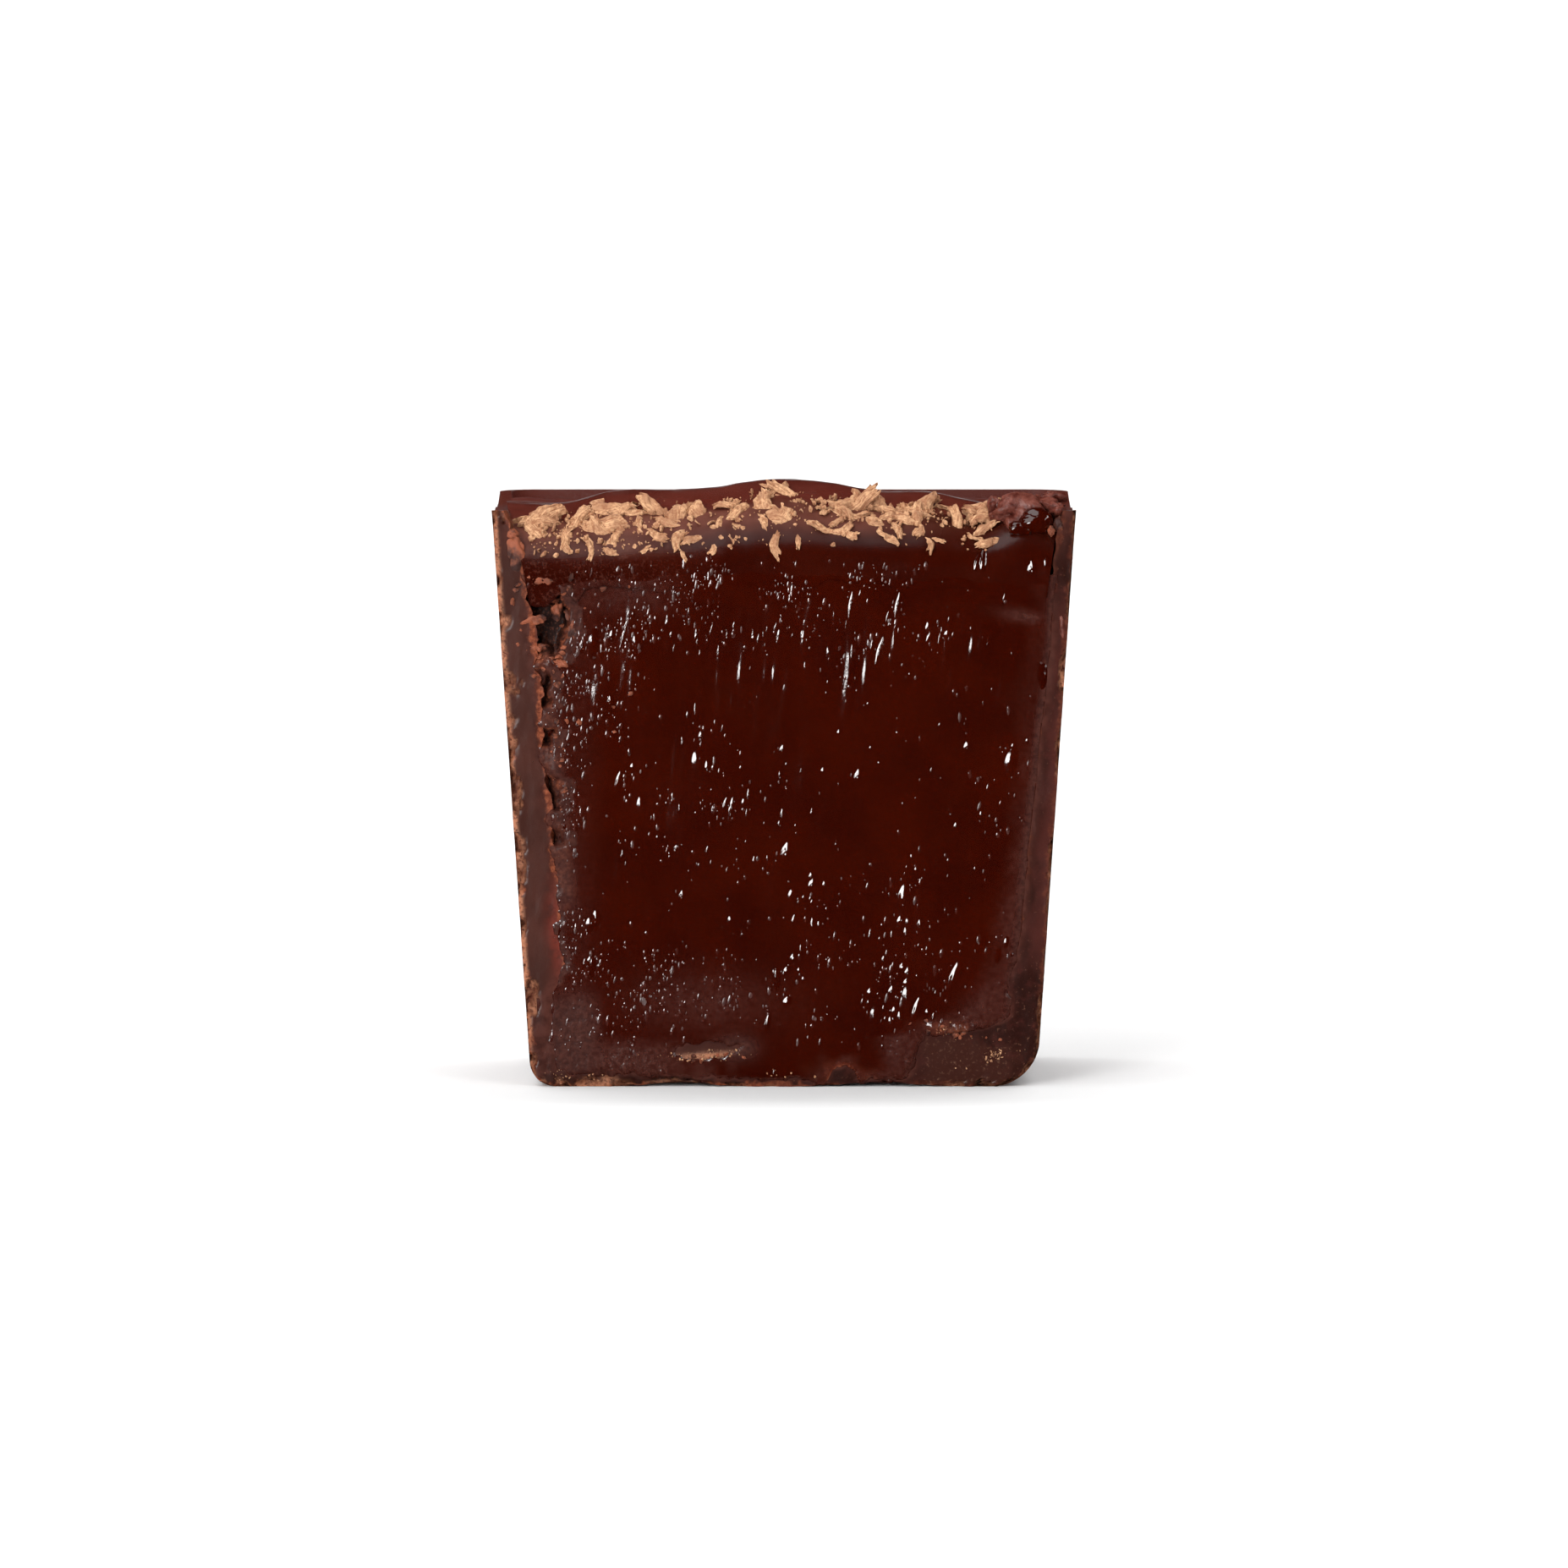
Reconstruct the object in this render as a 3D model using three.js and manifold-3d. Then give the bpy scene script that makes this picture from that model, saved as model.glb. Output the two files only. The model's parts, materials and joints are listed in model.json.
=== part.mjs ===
// Half of a square chocolate cup bonbon, cut straight through the middle and standing on its foot.
// A moulded chocolate cup holds a soft ganache filling, and a poured ganache cap with chocolate
// flakes closes it. The cut face looks along -Y, +X is to the right of it, +Z is up, and the
// origin lies at the middle of the foot. Lengths are in millimetres.
import * as THREE from 'three';
import { mergeVertices } from 'three/addons/utils/BufferGeometryUtils.js';
import Module from 'manifold-3d';

const wasm = await Module();
wasm.setup();

// Driving dimensions of the cup
const RIM_WIDTH = 26; // outer width across the rim
const FOOT_WIDTH = 22.6; // outer width that the tapered sides reach at the foot
const CUP_HEIGHT = 26;
const CUP_DEPTH = RIM_WIDTH / 2; // the cut halves a square cup
const CORNER_RADIUS = 1.6; // upright corners at the back, outside
const FOOT_RADIUS = { left: 1.1, right: 2, back: 1.1 }; // rounded edge round the foot, worn at the right
const FLOOR = 2.3; // thickness of the cup's floor
const RIM_WALL = 0.5; // wall thickness at the very rim
const WALL = { left: 1.55, right: 1.0, back: 1.3 }; // wall thickness below the rim
const FOOT_GAIN = 0.7; // how much thicker the walls are at the foot
const RIM_TAPER = 2.2; // run below the rim over which a wall reaches its thickness
const HOLLOW_RADIUS = { left: 2.2, right: 4.6, back: 2.2 }; // between each wall and the floor, inside
const HOLLOW_CORNER = 1.3; // upright corners at the back, inside
const HOLLOW_ROUND = HOLLOW_RADIUS.right / (CUP_HEIGHT - FLOOR); // share of its height with rounded sides
const GAP = 0.15; // clearance between one food layer and the next

// Driving dimensions of the ganache
const FILL_EDGE = 22.2; // height of the filling where it meets the side walls
const FILL_DOME = 0.5; // how much higher it stands in the middle
const FILL_SPAN = 11; // half width over which it falls from the middle to the edge
const CAP_LIP = 24.55; // height of the cap at the cut
const CAP_LIP_CROWN = 0.55; // extra height of the lip near the middle
const CROWN_AT = 2; // place of this crown across
const CROWN_HALF_WIDTH = 6.5;
const LIP_PROUD = 0.2; // how far the cap stands out of the cut face
const LIP_ROUND = 1.7; // radius of the rolled edge of the lip
const RIDGE = 25.85; // height of the ridge behind the lip, at the sides
const RIDGE_SHOULDER = 0.5; // rise from the sides to the broad shoulder
const SHOULDER_LEFT = [-10.2, -6.6]; // where the shoulder starts and is reached, from the left
const SHOULDER_RIGHT = [5, 9.6]; // where it is left again and ends, at the right
const RIDGE_PEAK = 0.68; // rise from the shoulder to the mound in the middle
const PEAK_HALF_WIDTH = 2.8;
const RIDGE_BEHIND = 5; // distance of the ridge behind the cut
const CAP_BACK = 25.5; // height of the cap at the back wall
const RIPPLE = 0.12; // height of the soft folds behind the ridge
const CELLS_ACROSS = 24; // facets across the ganache
const LUMP = { at: 10.7, behind: 1.6, height: 0.75, halfWidth: 1.3, halfDepth: 1.7 }; // torn up at the right

// Driving dimensions of what breaks up the cut
const DRAG_DEPTH = 0.1; // depth of the marks that the knife dragged down the filling
const DRAG_PITCH = 2.7; // distance from one broad drag mark to the next
const DRAG_BEAT = 2.2; // finer marks to each broad one
const DRAG_SLANT = 0.25; // how fast the marks wander sideways, in radians a millimetre
const DRAG_FADE = 0.15; // how often the marks start and end, against their pitch
const DISH = 0.15; // how far the soft filling has sunk back from the cut in the middle
const CREVICE_TOP = 22.6; // the filling has come away from the left wall between these heights
const CREVICE_FOOT = 9.5;
const CREVICE_RUN = 10; // height over which it opens to its full width
const CREVICE_START = 0.35; // share of its width that it has at its foot
const CREVICE_WIDTH = 1.1;
const CREVICE_DEPTH = 1.2;
const CREVICE_RAGGED = 0.35; // how much its depth comes and goes, as a share
const CHIP_COUNT = 9; // chips along the left edge of the cut
const CHIP_RUN = [0.12, 0.92]; // lowest and highest one, as shares of the cup's height
const CHIP_SIZE = 0.55; // of the largest one
const CHIP_SMALLEST = 0.6; // as a share of the largest
const CHIP_FLAT = 0.75; // how much a chip is flattened
const CHIP_STRETCH = [1.6, 2.6]; // how much it is drawn out along the edge
const CHIP_OUT = 0.18; // how far its middle lies outside the edge, as a share of its size
const CHIP_SEED = 7;
const RIM_WEAR = 0.2; // how far the corners of the rim are worn down at the cut
const NOTCH = 0.5; // how far the side rims are broken down behind the cut
const NOTCH_FROM = 1; // where this starts and ends behind the cut
const NOTCH_TO = 10.6;
const PAST = 1; // how far a cutting shape reaches past what it cuts

// Driving dimensions of the flakes
const CLUMPS = [-10.6, -8.3, -6.6, -4.7, -2, 0.2, 2.4, 5, 6.4, 8.5]; // where flakes heap up, across
const CLUMP_SIZES = [1.1, 1.2, 0.8, 1.1, 0.85, 1.3, 0.95, 0.85, 0.95, 1.15]; // of the flakes in each heap
const CLUMP_SPREAD = 2; // width of a heap
const FLAKES_PER_CLUMP = 6;
const FLAKE_LENGTH = 2.2; // of a heap's largest one
const FLAKE_SHRINK = 0.1; // how much shorter each following one is, as a share of the largest
const LOOSE_FLAKES = 20;
const LOOSE_SHARE = 0.4; // length of the loose ones, as a share of the largest
const FLAKE_SIZES = [0.8, 1.1]; // spread of the lengths, as shares
const FLAKE_WIDTHS = [0.25, 0.6]; // spread of the widths, as shares of the length
const FLAKE_SKEW = 0.2; // how far the outline swings to the sides, as a share of the length
const FLAKE_CURL = [0.6, 1.7]; // spread of the curls, in radians
const FLAKE_THICKNESS = 0.14;
const FLAKE_NEAR = -0.1; // nearest to the cut and furthest from it
const FLAKE_FAR = 2.1;
const FLAKE_LEAN = 0.85; // how far the flakes lean towards the cut, in radians
const FLAKE_TILT = 1; // widest spread of the tilts, in radians
const FLAKE_SUNK = 0.45; // share of a flake's height that lies in the cap
const FLAKE_SEED = 22;
const OVERHANG = 0.39; // how far the foremost flake stands out of the cut

// The cut plane, placed so that the origin is in the middle of the whole depth
const CUT_Y = (OVERHANG - CUP_DEPTH) / 2;

const { lerp, clamp, smoothstep } = THREE.MathUtils;

// Repeatable draws from 0 to 1.
function lottery(seed) {
  let state = seed;
  return () => {
    state = (Math.imul(state, 1664525) + 1013904223) >>> 0;
    return state / 2 ** 32;
  };
}

// A box of nx by ny by nz cells whose corners are moved by place(u, v, w), each running from 0 to 1
// across, back from the cut and up.
function bentBox(nx, ny, nz, place) {
  const box = new THREE.BoxGeometry(1, 1, 1, nx, ny, nz);
  box.deleteAttribute('normal');
  box.deleteAttribute('uv');
  const closed = mergeVertices(box, 1e-5);
  const corners = closed.getAttribute('position');
  for (let i = 0; i < corners.count; i++) {
    const [u, v, w] = [corners.getX(i) + 0.5, corners.getY(i) + 0.5, corners.getZ(i) + 0.5];
    const point = place(u, v, w);
    corners.setXYZ(i, point.x, point.y, point.z);
  }
  return closed;
}

// A closed geometry as a solid that can be joined and cut.
function solid(geometry) {
  const bare = geometry.clone();
  for (const name of Object.keys(bare.attributes)) {
    if (name !== 'position') bare.deleteAttribute(name);
  }
  const merged = mergeVertices(bare, 1e-4);
  return new wasm.Manifold(
    new wasm.Mesh({
      numProp: 3,
      vertProperties: merged.getAttribute('position').array,
      triVerts: new Uint32Array(merged.index.array),
    }),
  );
}

function geometryOf(made) {
  const { vertProperties, triVerts } = made.getMesh();
  const geometry = new THREE.BufferGeometry();
  geometry.setAttribute('position', new THREE.BufferAttribute(vertProperties, 3));
  geometry.setIndex(new THREE.BufferAttribute(triVerts, 1));
  return geometry;
}

// A smooth bump of height 1 round a place.
const bump = (at, place, halfWidth) => Math.exp(-(((at - place) / halfWidth) ** 2));

// How far a rounded edge of this radius stands back at a distance from the face that it runs into.
function roundedEdge(radius, distance) {
  const short = clamp(radius - distance, 0, radius);
  return radius - Math.sqrt(radius ** 2 - short ** 2);
}

// Stops from 0 to 1 with a straight stretch first and a quarter circle after it.
function stopsIntoCorner(straight, round, share) {
  const stops = [];
  for (let i = 0; i <= straight; i++) stops.push((i / straight) * (1 - share));
  for (let i = 1; i <= round; i++) {
    stops.push(1 - share + share * Math.sin(((i / round) * Math.PI) / 2));
  }
  return stops;
}

const stop = (stops, t) => stops[Math.round(t * (stops.length - 1))];

// Outer half width of the cup at a height, which is also its depth behind the cut.
const outerHalf = (z) => lerp(FOOT_WIDTH, RIM_WIDTH, z / CUP_HEIGHT) / 2;

// Thickness of one wall at a height: thin at the rim, and growing towards the foot.
function wallAt(side, z) {
  const below = Math.max(CUP_HEIGHT - z, 0);
  const grown = (WALL[side] - RIM_WALL) * (1 - Math.exp(-below / RIM_TAPER));
  return RIM_WALL + grown + FOOT_GAIN * (below / CUP_HEIGHT) ** 2;
}

// The plan of the hollow at a height: its sides and its back, drawn in by a clearance.
function hollowAt(z, clear) {
  const side = (name) => outerHalf(z) - wallAt(name, z) - roundedEdge(HOLLOW_RADIUS[name], z - FLOOR) - clear;
  return { left: -side('left'), right: side('right'), back: side('back') };
}

// A point of the plan, u of the way across at a distance behind the cut, inside rounded back corners.
function acrossPlan(plan, u, behind, corner) {
  const inset = roundedEdge(corner, plan.back - behind);
  return lerp(plan.left + inset, plan.right - inset, u);
}

// The top of the filling, under the cap.
const fillTop = (x) => FILL_EDGE + FILL_DOME * (1 - (x / FILL_SPAN) ** 2);

// The top of the ganache cap: a rolled lip at the cut, a ridge with a mound, then soft folds.
function capTop(x, behind) {
  const lip = CAP_LIP + CAP_LIP_CROWN * bump(x, CROWN_AT, CROWN_HALF_WIDTH);
  const shoulder = smoothstep(x, ...SHOULDER_LEFT) * (1 - smoothstep(x, ...SHOULDER_RIGHT));
  const ridge = RIDGE + RIDGE_SHOULDER * shoulder + RIDGE_PEAK * bump(x, 0, PEAK_HALF_WIDTH);
  const lump = LUMP.height * bump(x, LUMP.at, LUMP.halfWidth) * bump(behind, LUMP.behind, LUMP.halfDepth);
  const roll = roundedEdge(LIP_ROUND, behind + LIP_PROUD);
  if (behind < RIDGE_BEHIND) {
    return lerp(lip, ridge, smoothstep(behind, -LIP_ROUND, RIDGE_BEHIND)) + lump - roll;
  }
  const past = smoothstep(behind, RIDGE_BEHIND, CUP_DEPTH - WALL.back);
  return lerp(ridge, CAP_BACK, past) - RIPPLE * Math.sin(past * Math.PI * 2) + lump;
}

// How far the cut face of the filling lies behind the cut: knife drags, and the crevice at the left.
function cutRelief(x, z, fromLeft) {
  const turn = (2 * Math.PI) / DRAG_PITCH;
  const fine = Math.sin(turn * x + DRAG_SLANT * z) * Math.sin(DRAG_BEAT * turn * x);
  const drags = fine * Math.sin(DRAG_FADE * turn * z);
  const opening = smoothstep(z, CREVICE_FOOT, CREVICE_FOOT + CREVICE_RUN);
  const along = opening * (1 - smoothstep(z, CREVICE_TOP - CREVICE_WIDTH, CREVICE_TOP));
  const ragged = 1 - CREVICE_RAGGED * (1 - Math.sin(2 * turn * z) * Math.sin(turn * z));
  const crevice = bump(fromLeft, 0, CREVICE_WIDTH * lerp(CREVICE_START, 1, along));
  const dished = DISH * Math.cos((x / RIM_WIDTH) * Math.PI);
  return dished + DRAG_DEPTH * drags + CREVICE_DEPTH * along * ragged * crevice;
}

// The moulded cup: tapered outside, hollow inside, broken down at the side rims and chipped at the cut.
function cup() {
  const depthStops = stopsIntoCorner(2, 5, CORNER_RADIUS / CUP_DEPTH);
  const footShare = Math.max(...Object.values(FOOT_RADIUS)) / CUP_HEIGHT;
  const heightStops = stopsIntoCorner(8, 7, footShare).map((t) => 1 - t).reverse();
  const outside = bentBox(1, depthStops.length - 1, heightStops.length - 1, (u, v, w) => {
    const z = CUP_HEIGHT * stop(heightStops, w);
    const side = (name) => outerHalf(z) - roundedEdge(FOOT_RADIUS[name], z);
    const plan = { left: -side('left'), right: side('right'), back: side('back') };
    const behind = plan.back * stop(depthStops, v);
    return new THREE.Vector3(acrossPlan(plan, u, behind, CORNER_RADIUS), CUT_Y + behind, z);
  });

  const hollowDepthStops = stopsIntoCorner(2, 5, HOLLOW_CORNER / CUP_DEPTH);
  const hollowHeightStops = stopsIntoCorner(10, 8, HOLLOW_ROUND).map((t) => 1 - t).reverse();
  const hollow = bentBox(1, hollowDepthStops.length - 1, hollowHeightStops.length - 1, (u, v, w) => {
    const z = lerp(FLOOR, CUP_HEIGHT + PAST, stop(hollowHeightStops, w));
    const plan = hollowAt(z, 0);
    const behind = lerp(-PAST, plan.back, stop(hollowDepthStops, v));
    return new THREE.Vector3(acrossPlan(plan, u, behind, HOLLOW_CORNER), CUT_Y + behind, z);
  });

  let made = solid(outside).subtract(solid(hollow));
  for (const side of [-1, 1]) made = made.subtract(rimNotch(side));
  for (const chip of edgeChips()) made = made.subtract(chip);
  return made;
}

// What has broken off one side rim behind the cut, as a long shallow notch.
function rimNotch(side) {
  const low = CUP_HEIGHT - NOTCH;
  const clear = CUP_HEIGHT + PAST;
  const profile = new THREE.Shape();
  profile.moveTo(-PAST, clear);
  profile.lineTo(-PAST, CUP_HEIGHT - RIM_WEAR);
  profile.lineTo(NOTCH_FROM, CUP_HEIGHT - RIM_WEAR);
  profile.lineTo(lerp(NOTCH_FROM, NOTCH_TO, 0.12), low + NOTCH / 8);
  profile.lineTo(lerp(NOTCH_FROM, NOTCH_TO, 0.45), low);
  profile.lineTo(lerp(NOTCH_FROM, NOTCH_TO, 0.75), low + NOTCH / 6);
  profile.quadraticCurveTo(NOTCH_TO - NOTCH, low + NOTCH / 3, NOTCH_TO, clear);
  const reach = WALL[side < 0 ? 'left' : 'right'] + 2 * PAST;
  const notch = new THREE.ExtrudeGeometry(profile, { depth: reach, bevelEnabled: false, curveSegments: 4 });
  notch.rotateX(Math.PI / 2).rotateZ(Math.PI / 2);
  notch.translate(side < 0 ? -RIM_WIDTH / 2 - PAST : RIM_WIDTH / 2 + PAST - reach, CUT_Y, 0);
  return solid(notch);
}

// Small bites out of the left edge of the cut, where the brittle cup has splintered.
function edgeChips() {
  const draw = lottery(CHIP_SEED);
  const chips = [];
  for (let i = 0; i < CHIP_COUNT; i++) {
    const z = CUP_HEIGHT * lerp(...CHIP_RUN, (i + draw()) / CHIP_COUNT);
    const chip = new THREE.IcosahedronGeometry(CHIP_SIZE * lerp(CHIP_SMALLEST, 1, draw()), 0);
    chip.scale(CHIP_FLAT, CHIP_FLAT, lerp(...CHIP_STRETCH, draw()));
    chip.rotateZ(draw() * Math.PI);
    chip.translate(-outerHalf(z) - CHIP_SIZE * CHIP_OUT, CUT_Y - CHIP_SIZE * CHIP_OUT, z);
    chips.push(solid(chip));
  }
  return chips;
}

// The filling: it fills the hollow up to the cap, dragged by the knife at the cut.
function filling() {
  const depthStops = stopsIntoCorner(2, 3, HOLLOW_CORNER / CUP_DEPTH);
  const heightStops = stopsIntoCorner(20, 8, HOLLOW_ROUND).map((t) => 1 - t).reverse();
  return bentBox(CELLS_ACROSS, depthStops.length - 1, heightStops.length - 1, (u, v, w) => {
    const lift = stop(heightStops, w);
    const levelX = acrossPlan(hollowAt(FILL_EDGE, GAP), u, 0, HOLLOW_CORNER);
    const z = lerp(FLOOR + GAP, fillTop(levelX) - GAP / 2, lift);
    const plan = hollowAt(z, GAP);
    const x = acrossPlan(plan, u, 0, HOLLOW_CORNER);
    const front = cutRelief(x, z, x - plan.left);
    const behind = lerp(front, plan.back, stop(depthStops, v));
    return new THREE.Vector3(acrossPlan(plan, u, behind, HOLLOW_CORNER), CUT_Y + behind, z);
  });
}

// The ganache cap without its flakes, from the top of the filling up to its waved surface.
function cap() {
  const lipShare = LIP_ROUND / CUP_DEPTH;
  const lipStops = [0, 1, 2, 3].map((i) => lipShare * (1 - Math.cos((i * Math.PI) / 8)));
  const backStops = stopsIntoCorner(10, 3, HOLLOW_CORNER / CUP_DEPTH);
  const depthStops = [...lipStops, ...backStops.map((t) => lerp(lipShare, 1, t))];
  return bentBox(CELLS_ACROSS, depthStops.length - 1, 3, (u, v, w) => {
    const level = hollowAt(FILL_EDGE, GAP);
    const levelX = acrossPlan(level, u, 0, HOLLOW_CORNER);
    const levelBehind = lerp(-LIP_PROUD, level.back, stop(depthStops, v));
    const z = lerp(fillTop(levelX) + GAP / 2, capTop(levelX, levelBehind), w);
    const plan = hollowAt(z, GAP);
    const behind = lerp(-LIP_PROUD, plan.back, stop(depthStops, v));
    return new THREE.Vector3(acrossPlan(plan, u, behind, HOLLOW_CORNER), CUT_Y + behind, z);
  });
}

// One flake: a thin curled shaving with a ragged outline, lying flat before it is turned and laid.
function flake(length, curl, draw) {
  const widths = [0, 1, 2, 3].map(() => length * lerp(...FLAKE_WIDTHS, draw()));
  const skews = [0, 1, 2, 3].map(() => length * FLAKE_SKEW * (draw() - 0.5));
  return bentBox(3, 1, 1, (u, v, w) => {
    const i = Math.round(u * 3);
    const bend = (u - 0.5) * curl;
    const radius = length / curl;
    const out = radius + (w - 0.5) * FLAKE_THICKNESS;
    const across = (v - 0.5) * widths[i] + skews[i];
    return new THREE.Vector3(Math.sin(bend) * out, across, Math.cos(bend) * out - radius);
  });
}

// The flakes, largest first: heaped round the clumps high on the slope, then strewn along the lip.
function flakes() {
  const draw = lottery(FLAKE_SEED);
  const laid = [];
  for (let k = 0; k < FLAKES_PER_CLUMP; k++) {
    CLUMPS.forEach((place, i) => {
      const x = place + CLUMP_SPREAD * (draw() - 0.5);
      const behind = lerp(FLAKE_FAR, FLAKE_NEAR, (k + draw()) / FLAKES_PER_CLUMP);
      laid.push(laidFlake(x, behind, FLAKE_LENGTH * CLUMP_SIZES[i] * (1 - FLAKE_SHRINK * k), draw));
    });
  }
  for (let i = 0; i < LOOSE_FLAKES; i++) {
    const x = lerp(CLUMPS.at(0), CLUMPS.at(-1), (i + draw()) / LOOSE_FLAKES);
    laid.push(laidFlake(x, FLAKE_NEAR + draw(), FLAKE_LENGTH * LOOSE_SHARE, draw));
  }
  return laid;
}

// One flake turned, leant and sunk into the cap at a place across and behind the cut, clear of the walls.
function laidFlake(x, behind, length, draw) {
  const shaving = flake(length * lerp(...FLAKE_SIZES, draw()), lerp(...FLAKE_CURL, draw()), draw);
  shaving.rotateZ(draw() * 2 * Math.PI);
  shaving.rotateY((draw() - 0.5) * FLAKE_TILT);
  shaving.rotateX(FLAKE_LEAN + (draw() - 0.5) * FLAKE_TILT);
  shaving.computeBoundingBox();
  const { min, max } = shaving.boundingBox;
  const sunk = FLAKE_SUNK * (max.z - min.z);
  const plan = hollowAt(capTop(x, behind) - sunk, GAP);
  const clear = clamp(x, plan.left - min.x, plan.right - max.x);
  shaving.translate(clear, CUT_Y + behind, capTop(clear, behind) - min.z - sunk);
  return shaving;
}

// The cap with its flakes fused on. A flake that touches nothing is dropped.
function topping() {
  let made = solid(cap());
  for (const shaving of flakes()) made = made.add(solid(shaving));
  return made.decompose().reduce((a, b) => (a.volume() > b.volume() ? a : b));
}

function piece(name, geometry, look) {
  geometry.computeVertexNormals();
  const mesh = new THREE.Mesh(geometry, new THREE.MeshStandardMaterial(look));
  mesh.name = name;
  return mesh;
}

const bonbon = new THREE.Group();
bonbon.add(piece('cup', geometryOf(cup()), { color: 0x4a2a22, roughness: 0.45, metalness: 0 }));
bonbon.add(piece('filling', filling(), { color: 0x3a0b05, roughness: 0.15, metalness: 0 }));
bonbon.add(piece('topping', geometryOf(topping()), { color: 0x4a2119, roughness: 0.2, metalness: 0 }));

export default bonbon;
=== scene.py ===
# %% [markdown]
# # Half a chocolate cup bonbon
#
# A moulded chocolate cup was filled with soft ganache, closed with a poured ganache cap and strewn
# with chocolate flakes, then cut in half with a knife. This lesson builds the looks of that half
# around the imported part: the cup, the filling, the cap, the flakes and the crumbs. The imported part
# gives the frame, so every piece below is made in place, in the same axes: the cut face looks along
# -Y, +X is to its right and +Z is up.

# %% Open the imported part
import json
import math

import bmesh
import bpy
import numpy as np
from mathutils import Matrix, Vector

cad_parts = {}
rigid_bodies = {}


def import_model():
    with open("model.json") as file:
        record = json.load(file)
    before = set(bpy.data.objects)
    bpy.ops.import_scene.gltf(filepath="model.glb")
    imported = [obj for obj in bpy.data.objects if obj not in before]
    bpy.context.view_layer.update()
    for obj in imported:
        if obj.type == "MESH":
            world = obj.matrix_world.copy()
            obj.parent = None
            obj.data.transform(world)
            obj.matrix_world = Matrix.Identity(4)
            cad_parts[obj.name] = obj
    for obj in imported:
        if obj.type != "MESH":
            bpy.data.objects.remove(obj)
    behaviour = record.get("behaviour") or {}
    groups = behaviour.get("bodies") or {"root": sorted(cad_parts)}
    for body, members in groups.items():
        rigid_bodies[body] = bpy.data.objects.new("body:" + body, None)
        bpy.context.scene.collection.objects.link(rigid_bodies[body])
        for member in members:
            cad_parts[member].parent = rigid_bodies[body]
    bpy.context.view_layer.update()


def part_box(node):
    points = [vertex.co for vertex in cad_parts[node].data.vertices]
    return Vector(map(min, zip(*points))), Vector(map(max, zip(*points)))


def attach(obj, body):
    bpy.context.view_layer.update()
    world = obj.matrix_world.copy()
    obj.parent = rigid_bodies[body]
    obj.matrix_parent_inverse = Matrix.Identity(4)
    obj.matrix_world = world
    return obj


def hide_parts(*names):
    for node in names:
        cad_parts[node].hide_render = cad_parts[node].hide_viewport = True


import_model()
MM = 0.001
cup_low, cup_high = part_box("cup")
RIM_WIDTH = (cup_high.x - cup_low.x) / MM
CUP_HEIGHT = cup_high.z / MM
CUT = cup_low.y / MM
print(f"rim {RIM_WIDTH:.1f} mm, height {CUP_HEIGHT:.1f} mm, cut plane at y = {CUT:.2f} mm")

# %% [markdown]
# ## The sizes that everything follows
#
# A bonbon is mostly one shape inside another: the taper of the mould gives the outside, the wall
# thickness gives the hollow, and the hollow gives the filling and the cap. So a few sizes are named
# once, in millimetres, and small functions work out the rest at any height. They take whole arrays of
# points, because a surface with real relief needs many thousands of them.

# %% Named sizes
FOOT_WIDTH = 22.6
FOOT_RADIUS = {"left": 1.1, "right": 2.0, "back": 1.1}
CORNER_RADIUS = 1.6
FLOOR = 2.3
RIM_WALL = 0.5
WALL = {"left": 1.55, "right": 1.0, "back": 1.3}
FOOT_GAIN = 0.7
RIM_TAPER = 2.2
HOLLOW_RADIUS = {"left": 2.2, "right": 4.6, "back": 2.2}
HOLLOW_CORNER = 1.3
print(f"foot {FOOT_WIDTH} mm wide, floor {FLOOR} mm and rim wall {RIM_WALL} mm thick")


# %% Steps, bumps and spots
def lerp(a, b, t):
    """A value on the way from a to b: a at t = 0, b at t = 1."""
    return a + (b - a) * t


def step(at, low, high):
    """0 below low, 1 above high, and a smooth rise between them."""
    t = np.clip((at - low) / (high - low), 0, 1)
    return t * t * (3 - 2 * t)


def fall(at, low, high):
    """1 below low, 0 above high, and a smooth fall between them."""
    return 1 - step(at, low, high)


def bump(at, place, half_width):
    """A smooth bump of height 1 round a place."""
    return np.exp(-(((at - place) / half_width) ** 2))


def spot(x, z, at_x, at_z, wide, tall, rise=0.0):
    """A smooth oval spot on the cut face that may rise or sink by so much for each millimetre across."""
    return bump(x, at_x, wide) * bump(z - rise * (x - at_x), at_z, tall)


print(f"a step is {step(0.5, 0, 1):.2f} halfway, a bump {bump(1, 0, 1):.2f} at its half width")


# %% Functions of the mould
def rounded_edge(radius, distance):
    """How far a rounded edge stands back at a distance from the face that it runs into."""
    short = np.clip(radius - distance, 0, radius)
    return radius - np.sqrt(radius**2 - short**2)


def outer_half(z):
    """Half the outer width at a height, which is also the depth behind the cut."""
    return lerp(FOOT_WIDTH, RIM_WIDTH, z / CUP_HEIGHT) / 2


def foot_side(side, z):
    """Distance of the cup's outside from the middle, or from the cut for the back, rounded at the foot."""
    return outer_half(z) - rounded_edge(FOOT_RADIUS[side], z)


def wall_at(side, z):
    """Thickness of a wall at a height: thin at the rim and growing towards the foot."""
    below = np.maximum(CUP_HEIGHT - z, 0)
    grown = (WALL[side] - RIM_WALL) * (1 - np.exp(-below / RIM_TAPER))
    return RIM_WALL + grown + FOOT_GAIN * (below / CUP_HEIGHT) ** 2


def hollow_side(side, z):
    """Distance of the hollow's wall from the middle, or from the cut for the back wall."""
    return outer_half(z) - wall_at(side, z) - rounded_edge(HOLLOW_RADIUS[side], z - FLOOR)


def either(side_at, x, z):
    """A distance for the left or the right side, whichever each point is on."""
    return np.where(x < 0, side_at("left", z), side_at("right", z))


for side in WALL:
    print(f"{side} wall halfway up: {wall_at(side, CUP_HEIGHT / 2):.2f} mm thick")

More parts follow.
